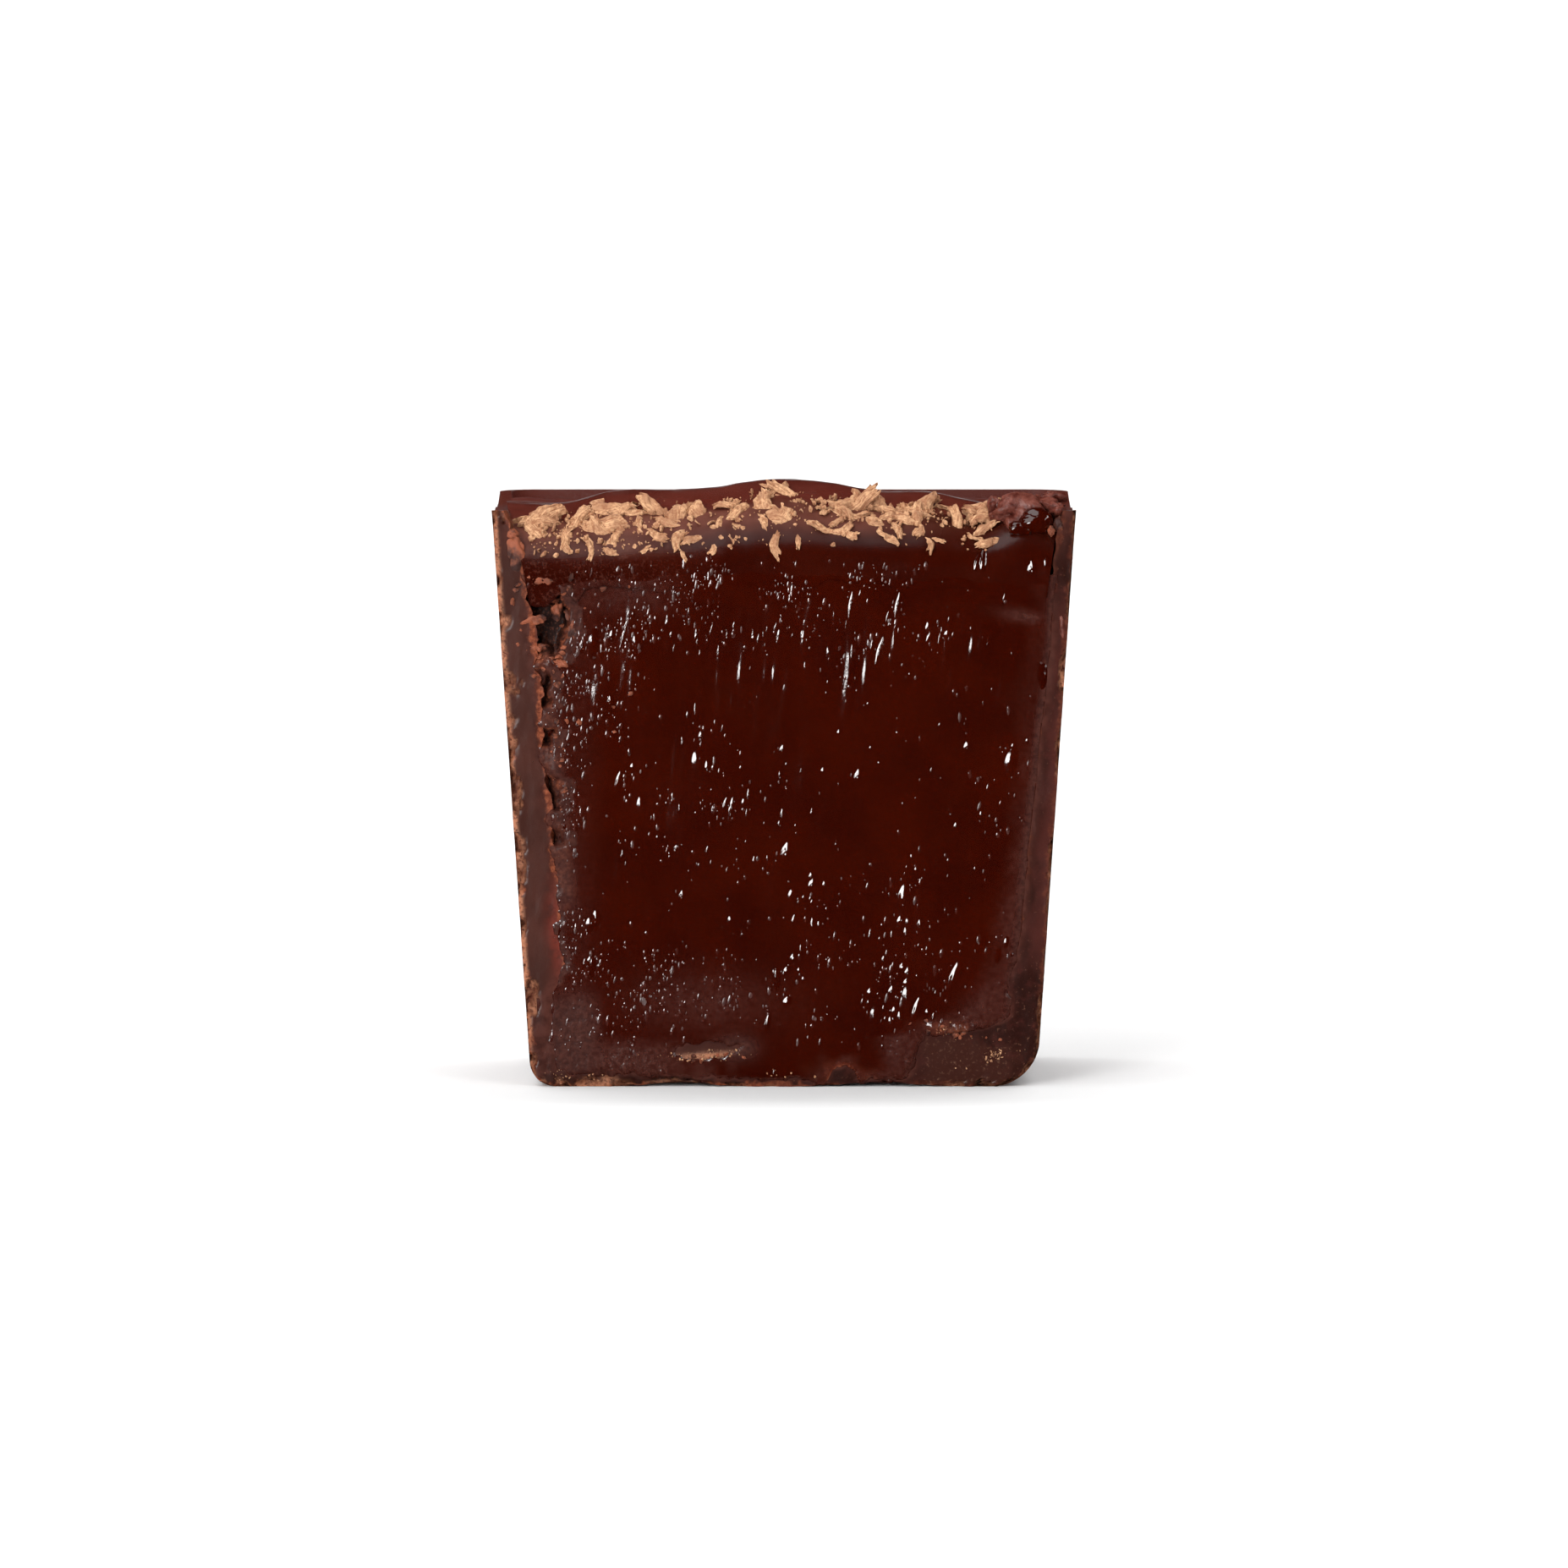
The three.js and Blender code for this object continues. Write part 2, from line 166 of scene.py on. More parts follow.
# %% [markdown]
# ## Unevenness
#
# Nothing about a cut sweet is even. Two kinds of noise give the unevenness: a soft one that drifts
# over one unit of length, and a rough one that stacks finer layers of it. Noise textures would do this
# in a material alone, but here the same noise also has to move points, so it is worked out on arrays.
# Every call names its own seed, so each run gives the same bonbon.


# %% Two kinds of noise
def soft_noise(x, z, seed):
    """Smooth noise from -1 to 1 that changes over one unit, for arrays of places."""
    table = np.random.default_rng(seed).uniform(-1, 1, (128, 128))
    i, j = np.floor(x).astype(int), np.floor(z).astype(int)
    s, t = step(x - i, 0, 1), step(z - j, 0, 1)
    low = lerp(table[i % 128, j % 128], table[(i + 1) % 128, j % 128], s)
    high = lerp(table[i % 128, (j + 1) % 128], table[(i + 1) % 128, (j + 1) % 128], s)
    return lerp(low, high, t)


def rough_noise(x, z, seed, layers=3):
    """Several layers of soft noise, each twice as fine and half as strong."""
    total = 0
    for k in range(layers):
        total = total + soft_noise(x * 2**k + 7.3 * k, z * 2**k + 3.1 * k, seed + k) / 2**k
    return total


along = np.linspace(0, 20, 400)
for noise in (soft_noise, rough_noise):
    print(f"{noise.__name__} reaches {noise(along, along, 1).max():.2f}")

# %% [markdown]
# ## Meshes from arrays
#
# A closed box whose lattice is moved into place makes the cup, the cap and each flake. Stations say
# where the lattice is fine and where it may be coarse: fine at the cut, where the eye goes, and coarse
# where the wall is smooth. The points go into a mesh in one call, far quicker than one by one.


# %% Closed boxes and grids
def stations(*spans):
    """Lattice stops through spans of (start, end, pitch), without repeats."""
    stops = [spans[0][0]]
    for start, end, pitch in spans:
        count = max(1, round(abs(end - start) / pitch))
        stops.extend(np.linspace(start, end, count + 1)[1:])
    return np.array(stops)


def box_lattice(us, vs, ws):
    """The surface points of a lattice box, as three arrays, and its outward faces."""
    shape = (len(us), len(vs), len(ws))
    number = np.full(shape, -1)
    outside = np.zeros(shape, bool)
    outside[[0, -1]] = outside[:, [0, -1]] = outside[:, :, [0, -1]] = True
    number[outside] = np.arange(outside.sum())
    i, j, k = np.nonzero(outside)
    faces = []
    for layer, flipped in (
        (number[0], True),
        (number[-1], False),
        (number[:, 0], False),
        (number[:, -1], True),
        (number[:, :, 0], True),
        (number[:, :, -1], False),
    ):
        corners = [layer[:-1, :-1], layer[1:, :-1], layer[1:, 1:], layer[:-1, 1:]]
        quads = np.stack(corners, -1).reshape(-1, 4)
        faces.append(quads[:, ::-1] if flipped else quads)
    return us[i], vs[j], ws[k], np.concatenate(faces)


def grid_quads(number):
    """The faces of an open grid, from the numbers of its points."""
    corners = [number[:-1, :-1], number[:-1, 1:], number[1:, 1:], number[1:, :-1]]
    return np.stack(corners, -1).reshape(-1, 4)


def mesh_object(name, points, faces):
    """A mesh object from points in millimetres and faces of any size."""
    mesh = bpy.data.meshes.new(name)
    mesh.from_pydata((np.asarray(points) * MM).tolist(), [], [list(map(int, face)) for face in faces])
    mesh.update()
    piece = bpy.data.objects.new(name, mesh)
    bpy.context.scene.collection.objects.link(piece)
    return piece


def points_of(piece):
    """The vertices of a mesh object, in millimetres."""
    flat = np.empty(len(piece.data.vertices) * 3)
    piece.data.vertices.foreach_get("co", flat)
    return flat.reshape(-1, 3) / MM


stops = stations((0, 1, 0.5), (1, 4, 1.0))
print(f"a box with {len(stops)} stops a side has {len(box_lattice(stops, stops, stops)[3])} faces")

# %% [markdown]
# ## Cutting and painting meshes
#
# One solid is taken out of another with a Boolean modifier, and the modifier's result then replaces
# the mesh, so that nothing is left to evaluate. Painting means storing a number for each vertex under
# a name: a material or a Geometry Nodes tree can read it, and it survives the cutting.


# %% Plain meshes and cutting
def plain_mesh(piece):
    """Swaps the mesh for what its modifiers make of it, and drops the modifiers."""
    bpy.context.view_layer.update()
    evaluated = piece.evaluated_get(bpy.context.evaluated_depsgraph_get())
    made = bpy.data.meshes.new_from_object(evaluated)
    piece.modifiers.clear()
    old = piece.data
    piece.data = made
    made.name = piece.name
    bpy.data.meshes.remove(old)


def cut_away(piece, tool):
    """Takes the tool's solid out of the piece."""
    modifier = piece.modifiers.new("cut", "BOOLEAN")
    modifier.operation = "DIFFERENCE"
    modifier.solver = "MANIFOLD"
    modifier.object = tool
    plain_mesh(piece)


def drop_scraps(piece, fewest_faces):
    """Removes loose scraps with fewer faces than this, left over from cutting."""
    edit = bmesh.new()
    edit.from_mesh(piece.data)
    seen, scraps = set(), []
    for first in edit.verts:
        if first in seen:
            continue
        island, waiting = [], [first]
        seen.add(first)
        while waiting:
            vert = waiting.pop()
            island.append(vert)
            for edge in vert.link_edges:
                other = edge.other_vert(vert)
                if other not in seen:
                    seen.add(other)
                    waiting.append(other)
        if len({face for vert in island for face in vert.link_faces}) < fewest_faces:
            scraps.extend(island)
    bmesh.ops.delete(edit, geom=scraps, context="VERTS")
    edit.to_mesh(piece.data)
    edit.free()


# %% Paint, finish and shading
STORED_AS = {
    "FLOAT": ("value", np.float32),
    "INT": ("value", np.int32),
    "FLOAT_VECTOR": ("vector", np.float32),
}


def paint(piece, name, values, kind="FLOAT"):
    """Stores one value for each vertex, for a material or a tree to read."""
    field, number = STORED_AS[kind]
    layer = piece.data.attributes.new(name, kind, "POINT")
    layer.data.foreach_set(field, np.asarray(values, dtype=number).ravel())


def paint_all(piece, paints):
    """Paints every named set of values, and says so."""
    for name, values in paints.items():
        paint(piece, name, values)
    print(f"painted on {piece.name}: {', '.join(paints)}")


def give(piece, material):
    """Makes this the piece's only material."""
    piece.data.materials.clear()
    piece.data.materials.append(material)


def shade(piece, degrees):
    """Smooth shading that keeps edges sharper than this angle."""
    piece.data.shade_smooth()
    piece.data.set_sharp_from_angle(angle=math.radians(degrees))


# %% [markdown]
# ## Wear along the cut
#
# Brittle chocolate splinters under a knife. The outer edge of the cut is chipped, mostly at the left,
# and the side rims broke down a little behind the cut. Both are functions of a place on the cup, so the
# chips can push real points about, and the paint can find the same chips again later.

# %% Chips and broken rims
CHIP_DEPTH = 0.35
RIM_WEAR = 0.2
NOTCH = 0.5
NOTCH_FROM = 1.0
NOTCH_TO = 10.6


def edge_distance(x, z):
    """Distance of a point of the cut face from the outer edge of the cup."""
    return np.minimum(either(foot_side, x, z) - np.abs(x), z)


def edge_chips(x, z):
    """Strength from 0 to 1 of the chips along the outer edge of the cut: most at the left and the foot."""
    reach = np.where(x < 0, 0.65, 0.25) + (0.15 + 0.3 * (x < -6.3)) * (z < FOOT_RADIUS["left"])
    reach = reach * (1 - 0.8 * bump(x, 2.5, 2.5))
    noise = rough_noise(x * 1.7, z * 1.1, 11, 4)
    return step(noise + 0.45 - 1.3 * edge_distance(x, z) / reach, 0.0, 0.7)


def rim_drop(x, behind):
    """How far the broken side rims lie below the full height."""
    side = step(np.abs(x), RIM_WIDTH / 2 - 1.3, RIM_WIDTH / 2 - 0.9)
    span = step(behind, 0.25, NOTCH_FROM + 1) * fall(behind, NOTCH_TO - 1.2, NOTCH_TO)
    ragged = 0.85 + 0.25 * rough_noise(behind * 0.9, x, 41)
    return side * (RIM_WEAR * fall(behind, 1.0, 2.0) + NOTCH * span * ragged)


print(f"left rim 4 mm behind the cut: {rim_drop(-RIM_WIDTH / 2, 4.0):.2f} mm low")

# %% [markdown]
# ## The cup
#
# The cup is tempered chocolate cast in a mould: flat tapered sides, a rounded foot and walls that
# thin out to the rim. Its outside and its hollow are two lattice boxes, and the hollow is taken out of
# the outside, just as the mould's core leaves it. A box with a Solidify modifier would give one wall
# thickness all round, but here the left wall is thicker than the right one.

# %% Outside of the cup
FINE_PITCH = 0.085
UP_PITCH = 0.12
# Arches: middle across, half width and height.
FOOT_ARCHES = ((-4.7, 1.7, 0.2), (4.2, 2.0, 0.22))


def cup_outside():
    """The block that the mould gives, chipped at the cut, worn into low arches at the foot."""
    across = stations((-13, -9.2, FINE_PITCH), (-9.2, 9.6, 0.3), (9.6, 13, FINE_PITCH)) / 13
    back = np.concatenate([[0, 0.012, 0.03, 0.06], np.linspace(0.12, 0.88, 6)])
    corner = 0.88 + 0.12 * np.sin(np.linspace(0, np.pi / 2, 7)[1:])
    foot = FOOT_RADIUS["left"] * (1 - np.cos(np.linspace(0, np.pi / 2, 12)))
    up = np.concatenate([foot, stations((foot[-1], 4, 0.09), (4, CUP_HEIGHT, UP_PITCH))[1:]])
    u, v, z, faces = box_lattice(across, np.concatenate([back, corner]), up)
    behind = foot_side("back", z) * v
    x = u * (either(foot_side, u, z) - rounded_edge(CORNER_RADIUS, foot_side("back", z) - behind))
    splinter = 1 + 0.5 * rough_noise(x * 3, z * 3, 71)
    face = edge_chips(x, z) * CHIP_DEPTH * splinter + 0.015 * rough_noise(x * 1.5, z * 0.6, 61)
    wobble = 0.02 * rough_noise(x * 0.25 + 4, z * 0.25, 51)
    moved = behind + (v < 0.001) * face + (v > 0.999) * wobble
    arches = sum(high * bump(x, at_x, wide) for at_x, wide, high in FOOT_ARCHES)
    lowered = step(z, CUP_HEIGHT - 1.5, CUP_HEIGHT) * rim_drop(x, behind)
    lifted = z - lowered + arches * fall(z, 0, 1.2) * fall(behind, 1.5, 4.0)
    return mesh_object("chocolate_cup", np.stack([x, CUT + moved, lifted], -1), faces)


cup = cup_outside()
print(f"outside of the cup: {len(cup.data.polygons)} faces")

# %% Take out the hollow
# How far the hollow runs out of the cup, and the stop where its lattice turns into the back corner.
THROUGH = 1.0
TURN = 10


def cup_hollow():
    """The hollow as a block that runs out through the cut and the rim, ragged near the cut."""
    back = np.concatenate([[-THROUGH, -0.25], stations((0, 0.6, 0.12), (0.6, 2, 0.35), (2, TURN, 2.0))])
    corner = np.linspace(0, np.pi / 2, 7)[1:]
    curved = max(HOLLOW_RADIUS.values())
    rise = curved * (1 - np.cos(np.linspace(0, np.pi / 2, 24)))
    up = np.concatenate([FLOOR + rise, stations((FLOOR + curved, CUP_HEIGHT + THROUGH, UP_PITCH))[1:]])
    u, v, z, faces = box_lattice(np.linspace(0, 1, 31), np.concatenate([back, TURN + corner]), up)
    start = hollow_side("back", z) - HOLLOW_CORNER
    angle = np.clip(v - TURN, 0, 2)
    straight = np.where(v < 0, v, v / TURN * start)
    behind = np.where(v > TURN, start + HOLLOW_CORNER * np.sin(angle), straight)
    inset = np.where(v > TURN, HOLLOW_CORNER * (1 - np.cos(angle)), 0)
    ragged = 0.17 * rough_noise(z * 1.7, behind * 1.5, 81, 4) * fall(behind, 0.2, 1.2)
    left = -hollow_side("left", z) + inset + ragged
    right = hollow_side("right", z) - inset + 0.4 * ragged
    return mesh_object("hollow", np.stack([lerp(left, right, u), CUT + behind, z], -1), faces)


hollow = cup_hollow()
cut_away(cup, hollow)
bpy.data.objects.remove(hollow)
shade(cup, 32)
print(f"cup: {len(cup.data.polygons)} faces")

# %% [markdown]
# ## What the knife left on the cup, and painted shade
#
# The cut face of the cup is not clean chocolate. The knife smeared ganache over it beside the filling,
# scraped it bare again at the lower right, and left dust and pale chips along the outer edge. A band at
# the foot, under the film's hem and in the worn arches, and the top of the right wall are darkened in the
# smear's tone as painted shade. Each of these is painted on the vertices as a number from 0 to 1.

# %% Paint the cup
WINDOW_X = -3.4
WINDOW_RISE = 0.06


def window(x, z):
    """1 inside the gap near the foot where the film tore open and the cup shows."""
    ragged = 0.15 * rough_noise(x * 2.1, z * 2.1, 111)
    return step(spot(x, z + ragged, WINDOW_X, 1.646, 1.6, 0.33, WINDOW_RISE), 0.25, 0.65)


def smear_and_foot_shade(x, z):
    """How dark the cup's cut face is painted: smeared ganache beside the filling and at the lower right, and
    painted shade in a band at the foot.
    """
    ragged = 0.4 * rough_noise(x * 1.3, z * 0.8, 91, 4)
    right = fall(x - hollow_side("right", z) + ragged, 0.1, 1.1)
    left = fall(-x - hollow_side("left", z) + ragged, 0.0, 0.9) * fall(z, 8, 11)
    # Painted shade: a dark band at the foot, under the film's hem and in the worn arches.
    foot = 0.7 * fall(z + ragged, 1.5, 4.0)
    corner = step(x, 7, 9) * fall(z + ragged, 4.5, 7.0)
    return np.maximum.reduce([np.where(x > 0, right, left), foot, corner]) * (1 - window(x, z))


def scraped(x, z):
    """1 on the patch beside the right corner where the knife scraped the smear off the cup again."""
    ragged = 0.2 * rough_noise(x * 1.6, z * 1.6, 95, 4)
    low = fall(z + 0.12 * (x - 6.3) + ragged, 2.1, 2.6)
    return low * step(x + ragged, 6.0, 6.5) * fall(x + 2 * ragged, 9.8, 10.8)


x, y, z = points_of(cup).T
at_cut = fall(y - CUT, 0.02, 0.7)
inside = np.minimum(np.abs(x) - either(hollow_side, x, z), 9 * (z > 3) + 1)
edge = np.minimum(edge_distance(x, z), np.where(z > 3, np.abs(inside), 1))
window_edge = spot(x, z, WINDOW_X, 1.396, 1.5, 0.14, WINDOW_RISE)
left_line = 0.7 * fall(edge_distance(x, z), 0.1, 0.3) * (x < -8) * step(z, 1.0, 3.0)
# Painted shade: the top of the right wall is darkened.
shaded_right_top = (x > 10) * bump(z, 23.0, 1.6)
outside = fall(np.minimum(outer_half(z) - np.maximum(np.abs(x), y - CUT), z), 0.1, 0.3)
cup_paints = {
    "cut": at_cut,
    "edge": np.clip(edge, 0, 1),
    "chipped": at_cut * np.maximum.reduce([edge_chips(x, z), 0.9 * window_edge, left_line]),
    "scraped": at_cut * scraped(x, z),
    # The stain paint holds smeared ganache and painted shade, in one dark tone.
    "stain": at_cut * np.maximum(smear_and_foot_shade(x, z), shaded_right_top),
    "blush": at_cut * bump(x, -10.0 - 0.1 * (z - 6.8), 0.5) * bump(z, 6.8, 2.0),
    "left_side": fall(x, -6, 6),
    "outside": outside * lerp(1.0, 0.12, step(y - CUT, 0.4, 2.5)),
}
paint_all(cup, cup_paints)

# %% [markdown]
# ## Where the filling ends
#
# Soft ganache does not cut clean. The knife pulls a thin film of it over the walls and the floor of
# the cup and up over the seam under the cap, and tears it off the left wall, which leaves a crevice:
# a cavity near the top with a row of dark pits below it. These limits come first, as functions of a
# place on the cut, because the cap, the film and the paint all have to agree about them.

# %% Seam, crevice and film
FILL_EDGE = 22.2
FILL_DOME = 0.5
FILL_SPAN = 11.0
LIP_PROUD = 0.2
FOLD = 0.04
FOLD_LEFT = 0.1
CREVICE_DEPTH = 1.2
# Pits of the crevice: height and half length.
PITS = ((17.9, 1.1), (15.7, 0.5), (13.2, 1.0), (11.2, 0.4))


def fill_top(x):
    """Height of the seam between the filling and the cap."""
    return FILL_EDGE + FILL_DOME * (1 - np.minimum((x / FILL_SPAN) ** 2, 1.2))


def cap_front(x, z):
    """How far the cap's front stands out of the cut: folded back at the seam, mostly at the left."""
    fold = (FOLD + FOLD_LEFT * fall(x, -8, -2)) * fall(z - fill_top(x), 0.0, 0.9)
    broad = 0.05 * soft_noise(x * 0.5, z * 0.9, 151)
    return LIP_PROUD - fold + broad + 0.02 * soft_noise(x * 1.6, z * 2.0, 152)


def crevice(x, z):
    """Depth of the torn gap beside the left wall: a wide cavity near the top and a row of pits below it."""
    ragged = 0.5 * rough_noise(x * 1.5, z * 1.1, 101, 4)
    row = sum(bump(z, height, half) for height, half in PITS)
    cavity = step(z, 18.6, 19.8) * fall(z + 0.6 * ragged, 22.1, 22.6)
    width = 0.65 + 0.2 * soft_noise(z * 1.3, 0 * z, 104) + 1.05 * step(z, 18.8, 20.8)
    near = fall((x + hollow_side("left", z)) / width + ragged, 0.5, 0.95)
    opened = np.maximum(step(row + 0.5 * ragged, 0.4, 0.8), cavity)
    floor = 0.4 + 0.6 * step(rough_noise(x * 1.2, z * 0.8, 107), -0.3, 0.25)
    return CREVICE_DEPTH * near * opened * floor * lerp(0.5, 0.8, cavity)


def covered(x, z):
    """1 where the filling covers the cut, falling to 0 where the cup's own cut face shows."""
    ragged = 0.12 * rough_noise(x * 2.1, z * 2.1, 111)
    over_wall = 0.1 * fall(z, 7.5, 9.5) + 2.0 * fall(z, 2.5, 5.5)
    from_left = x + hollow_side("left", np.maximum(z, FLOOR + 2)) + 0.3
    left = step(from_left + 1.5 * ragged + over_wall, -0.5, 0.8)
    film = 0.32 + 0.1 * rough_noise(x * 0.4, z * 0.35, 113)
    right = fall(x - outer_half(z) + wall_at("right", z) - film, -0.7, 0.6)
    beyond = x - hollow_side("right", z) - 1.6 * bump(z, 3.0, 1.0) + 2 * ragged
    corner = step(beyond, 0.1, 1.1) * fall(z, 6.0, 7.4)
    drips = bump(x, 1.7, 0.3) + bump(x, 3.45, 0.2)
    hem_at = 0.35 + 0.3 * fall(x, -7, -6) - 0.35 * drips + 0.6 * bump(x, 2.65, 0.6) + 1.2 * ragged
    hem = step(z, hem_at - 0.2, hem_at + 0.2)
    return left * right * hem * (1 - window(x, z)) * (1 - corner) * (1 - scraped(x, z))


x, z = np.meshgrid(np.linspace(-10, 10, 80), np.linspace(1, 22, 80))
print(f"the filling covers {100 * covered(x, z).mean():.0f}% of the cut between the walls")

# %% [markdown]
# ## The front of the filling
#
# The knife drags soft ganache into upright streaks, leaves it grainy beside the crevice and dull where
# it is smeared thin. All of this is a height above the cut for each point of a fine grid, and a few
# paints for the material: dull, dry, painted shade deep in a pit, or rust-brown where the film tears.
# Displacing a subdivided plane with textures would do as well, but with functions the paints follow the
# relief.

# %% Grid and dull places of the front
ROWS, COLUMNS = 261, 311
FILM = 0.1
OVER_CAP = 0.7
# Ovals on the cut: middle across and up, half width and half height, and rise for each millimetre across.
TEAR = (7.8, 2.57, 1.3, 0.28, -0.12)
GRAINY_PATCH = (-3.5, 3.8, 3.2, 1.3)
WIPED_PATCH = (8.9, 3.4, 0.9, 0.8)
SMEAR_BY_CAP = (10.7, 21.1, 1.1, 0.3, -0.15)
WINDOW_END = (-2.1, 1.75, 0.8, 0.5)


def front_grid():
    """Places of the front's points, from the foot to a little above the seam under the cap."""
    over = np.linspace(0, 1, COLUMNS)
    tops = fill_top(lerp(-FILL_SPAN, FILL_SPAN, over)) + OVER_CAP
    z = 0.1 + np.linspace(0, 1, ROWS)[:, None] * (tops - 0.1)[None, :]
    return lerp(0.5 - foot_side("left", z), foot_side("right", z) - 0.25, over[None, :]), z


def left_corner(x, z):
    """1 in the lower left corner, where the film is rubbed dull."""
    return fall(z, 3.0, 5.0) * fall(x, -9.0, -7.8)


def dullness(x, z):
    """How dull and brown the filling is at each place of the cut."""
    grainy = step(x, -11.5, -9.8) * fall(x, -9.4, -7.6 + 1.5 * step(z, 18, 20)) * step(z, 2.5, 4)
    bottom = fall(z, 1.2, 3.4) * step(rough_noise(x * 0.5, z * 0.5, 127), -0.3, 0.4)
    beside = x - hollow_side("right", z) + 0.5 * rough_noise(x * 0.6, z * 0.4, 128)
    shares = [
        0.25 * grainy,
        0.7 * spot(x, z, *GRAINY_PATCH),
        0.7 * bottom,
        0.5 * step(z, 20.5, 22) * fall(x, -6.5, -3.5),
        fall(z, 1.4, 2.6) * fall(x, -5.5, -3.0),
        left_corner(x, z),
        spot(x, z, *SMEAR_BY_CAP),
        0.9 * spot(x, z, *WIPED_PATCH),
        0.8 * step(beside, -1.5, 0.3) * (1 - 0.6 * step(z, 13, 17)),
        0.8 * fall(covered(x, z), 0.6, 1.0),
        step(crevice(x, z), 0.05, 0.4),
    ]
    return np.maximum.reduce(shares)


front_x, front_z = front_grid()
print(f"{front_x.size} points, {100 * dullness(front_x, front_z).mean():.0f}% dull")


# %% Relief of the front
def front_relief(x, z):
    """How far the front stands out of the cut, below 0 where it is sunk or torn away."""
    dull = dullness(x, z)
    cover = covered(x, z)
    waves = 0.1 * soft_noise(x * 0.3, z * 0.22, 121) + 0.035 * soft_noise(x * 0.9, z * 0.5, 122)
    slanted = x - 0.1 * (z - 20)
    drags = (0.010 + 0.014 * step(z, 15.5, 18.5)) * rough_noise(slanted * 2.6, z * 0.4, 123)
    height = FILM + waves + drags * (1 - 0.8 * dull) + 0.008 * dull * rough_noise(x * 6, z * 5, 131)
    height += 0.3 * spot(x, z, *TEAR) * (0.6 + 0.7 * rough_noise(x * 1.8, z * 1.2, 130))
    sheet = step(x, 4.5, 9.0) * step(z, 21.4 - 0.06 * (x - 9), 21.7)
    height = lerp(height, FILM + 0.12 + 0.5 * waves, sheet)
    above = z - fill_top(x)
    height = lerp(height, cap_front(x, z) + 0.02, step(above, -1.3, -0.2))
    height -= 0.05 * step(above + 0.15 * rough_noise(x * 0.8, z * 0.8, 129), 0.1, 0.5)
    film = lerp(0.008, height, step(cover, 0.5, 1.0))
    film = lerp(film, -0.01, fall(z, 4.0, 6.5) * fall(x + foot_side("left", z), 0.6, 2.8))
    sunk = lerp(-0.6, -0.035, step(cover, 0.02, 0.25))
    return lerp(sunk, film, step(cover, 0.3, 0.6)) - crevice(x, z)


front_out = front_relief(front_x, front_z)
print(f"the front stands {front_out.min():.2f} to {front_out.max():.2f} mm out of the cut")


# %% Paints of the front
def front_paints(x, z):
    """What the material reads on the front: dull, dry, painted shade deep in a pit, and rust-brown places."""
    cover = covered(x, z)
    torn = crevice(x, z)
    tear = spot(x, z, *TEAR)
    rim_left = 0.97 * fall(x + hollow_side("left", z), 0.35, 1.0) * step(z, 7, 9)
    wide = np.maximum.reduce([crevice(x - aside, z) for aside in (0, 0.2, 0.4, 0.6)])
    at_window = np.minimum(1.5 * spot(x, z, *WINDOW_END), 0.97)
    dry = [fall(cover, 0.6, 0.95), 0.95 * step(wide, 0.01, 0.15), 0.9 * left_corner(x, z)]
    dry += [rim_left, 0.9 * tear, at_window]
    arch = bump(x, 2.6, 1.2) * fall(z, 0.8, 1.4) * bump(cover, 0.7, 0.25)
    shred = bump(torn, 0.12, 0.12) * step(torn, 0.01, 0.06) * step(z, 11, 15)
    rust = np.maximum.reduce([arch, 0.5 * tear, 0.9 * shred, 0.12 * rim_left])
    rust = rust * step(rough_noise(x * 2, z * 2, 132), -0.5, 0.4)
    return {
        "dull": dullness(x, z),
        "dry": np.maximum.reduce(dry),
        # Painted shade: deep in the crevice, the dry ganache is painted darker.
        "deep": step(torn, 0.12, 0.4),
        "rust": rust,
    }


front_levels = front_paints(front_x, front_z)
for name, values in front_levels.items():
    print(f"{name}: {100 * values.mean():.0f}% of the front")

# %% [markdown]
# ## The filling
#
# The filling runs through the whole hollow. It is a block with that fine front and plain sides, and
# the cup is taken out of it. That makes the two fit without a gap, and where the film is sunk below the
# cut, the chocolate of the cup shows through by itself.

# %% Make the filling


def make_filling():
    """A block closed behind the front, painted, with the cup taken out of it."""
    number = np.arange(front_x.size).reshape(front_x.shape)
    points = [np.stack([front_x, CUT - front_out, front_z], -1).reshape(-1, 3)]
    faces = [grid_quads(number)]
    rim = np.concatenate([number[0, :-1], number[:-1, -1], number[-1, :0:-1], number[:0:-1, 0]])
    edge = points[0][rim]
    last = rim
    for share in (0.15, 0.5, 1.0):
        ring = edge.copy()
        ring[:, 1] = lerp(edge[:, 1], CUT + foot_side("back", edge[:, 2]) - 0.6, share)
        ring[:, 0] *= lerp(1.0, 0.97, share)
        ring[:, 2] = np.minimum(edge[:, 2], fill_top(edge[:, 0]))
        new = sum(len(group) for group in points) + np.arange(len(rim))
        points.append(ring)
        faces.append(np.stack([last, new, np.roll(new, -1), np.roll(last, -1)], -1))
        last = new
    polygons = [face for group in faces for face in group]
    polygons.append(last[::-1])
    filling = mesh_object("ganache_filling", np.concatenate(points), polygons)
    for name, values in front_levels.items():
        levels = np.zeros(len(filling.data.vertices))
        levels[: values.size] = values.reshape(-1)
        paint(filling, name, levels)
    cut_away(filling, cup)
    drop_scraps(filling, fewest_faces=40)
    shade(filling, 80)
    return filling


filling = make_filling()
x, y, z = points_of(cup).T
# The smear is kept off the painted shade at the top of the right wall.
paint(cup, "smeared", at_cut * step(covered(x, z), 0.05, 0.45) * (1 - shaded_right_top))
print(f"filling: {len(filling.data.polygons)} faces")

# %% [markdown]
# ## The cap
#
# The cap is warm ganache poured over the filling. It has a rolled lip at the cut, where the knife
# entered and pressed it down, and a ridge with a mound behind it. Its surface is a height for each
# place across and behind the cut, and the lattice is fine at the lip, where the light curls over it.

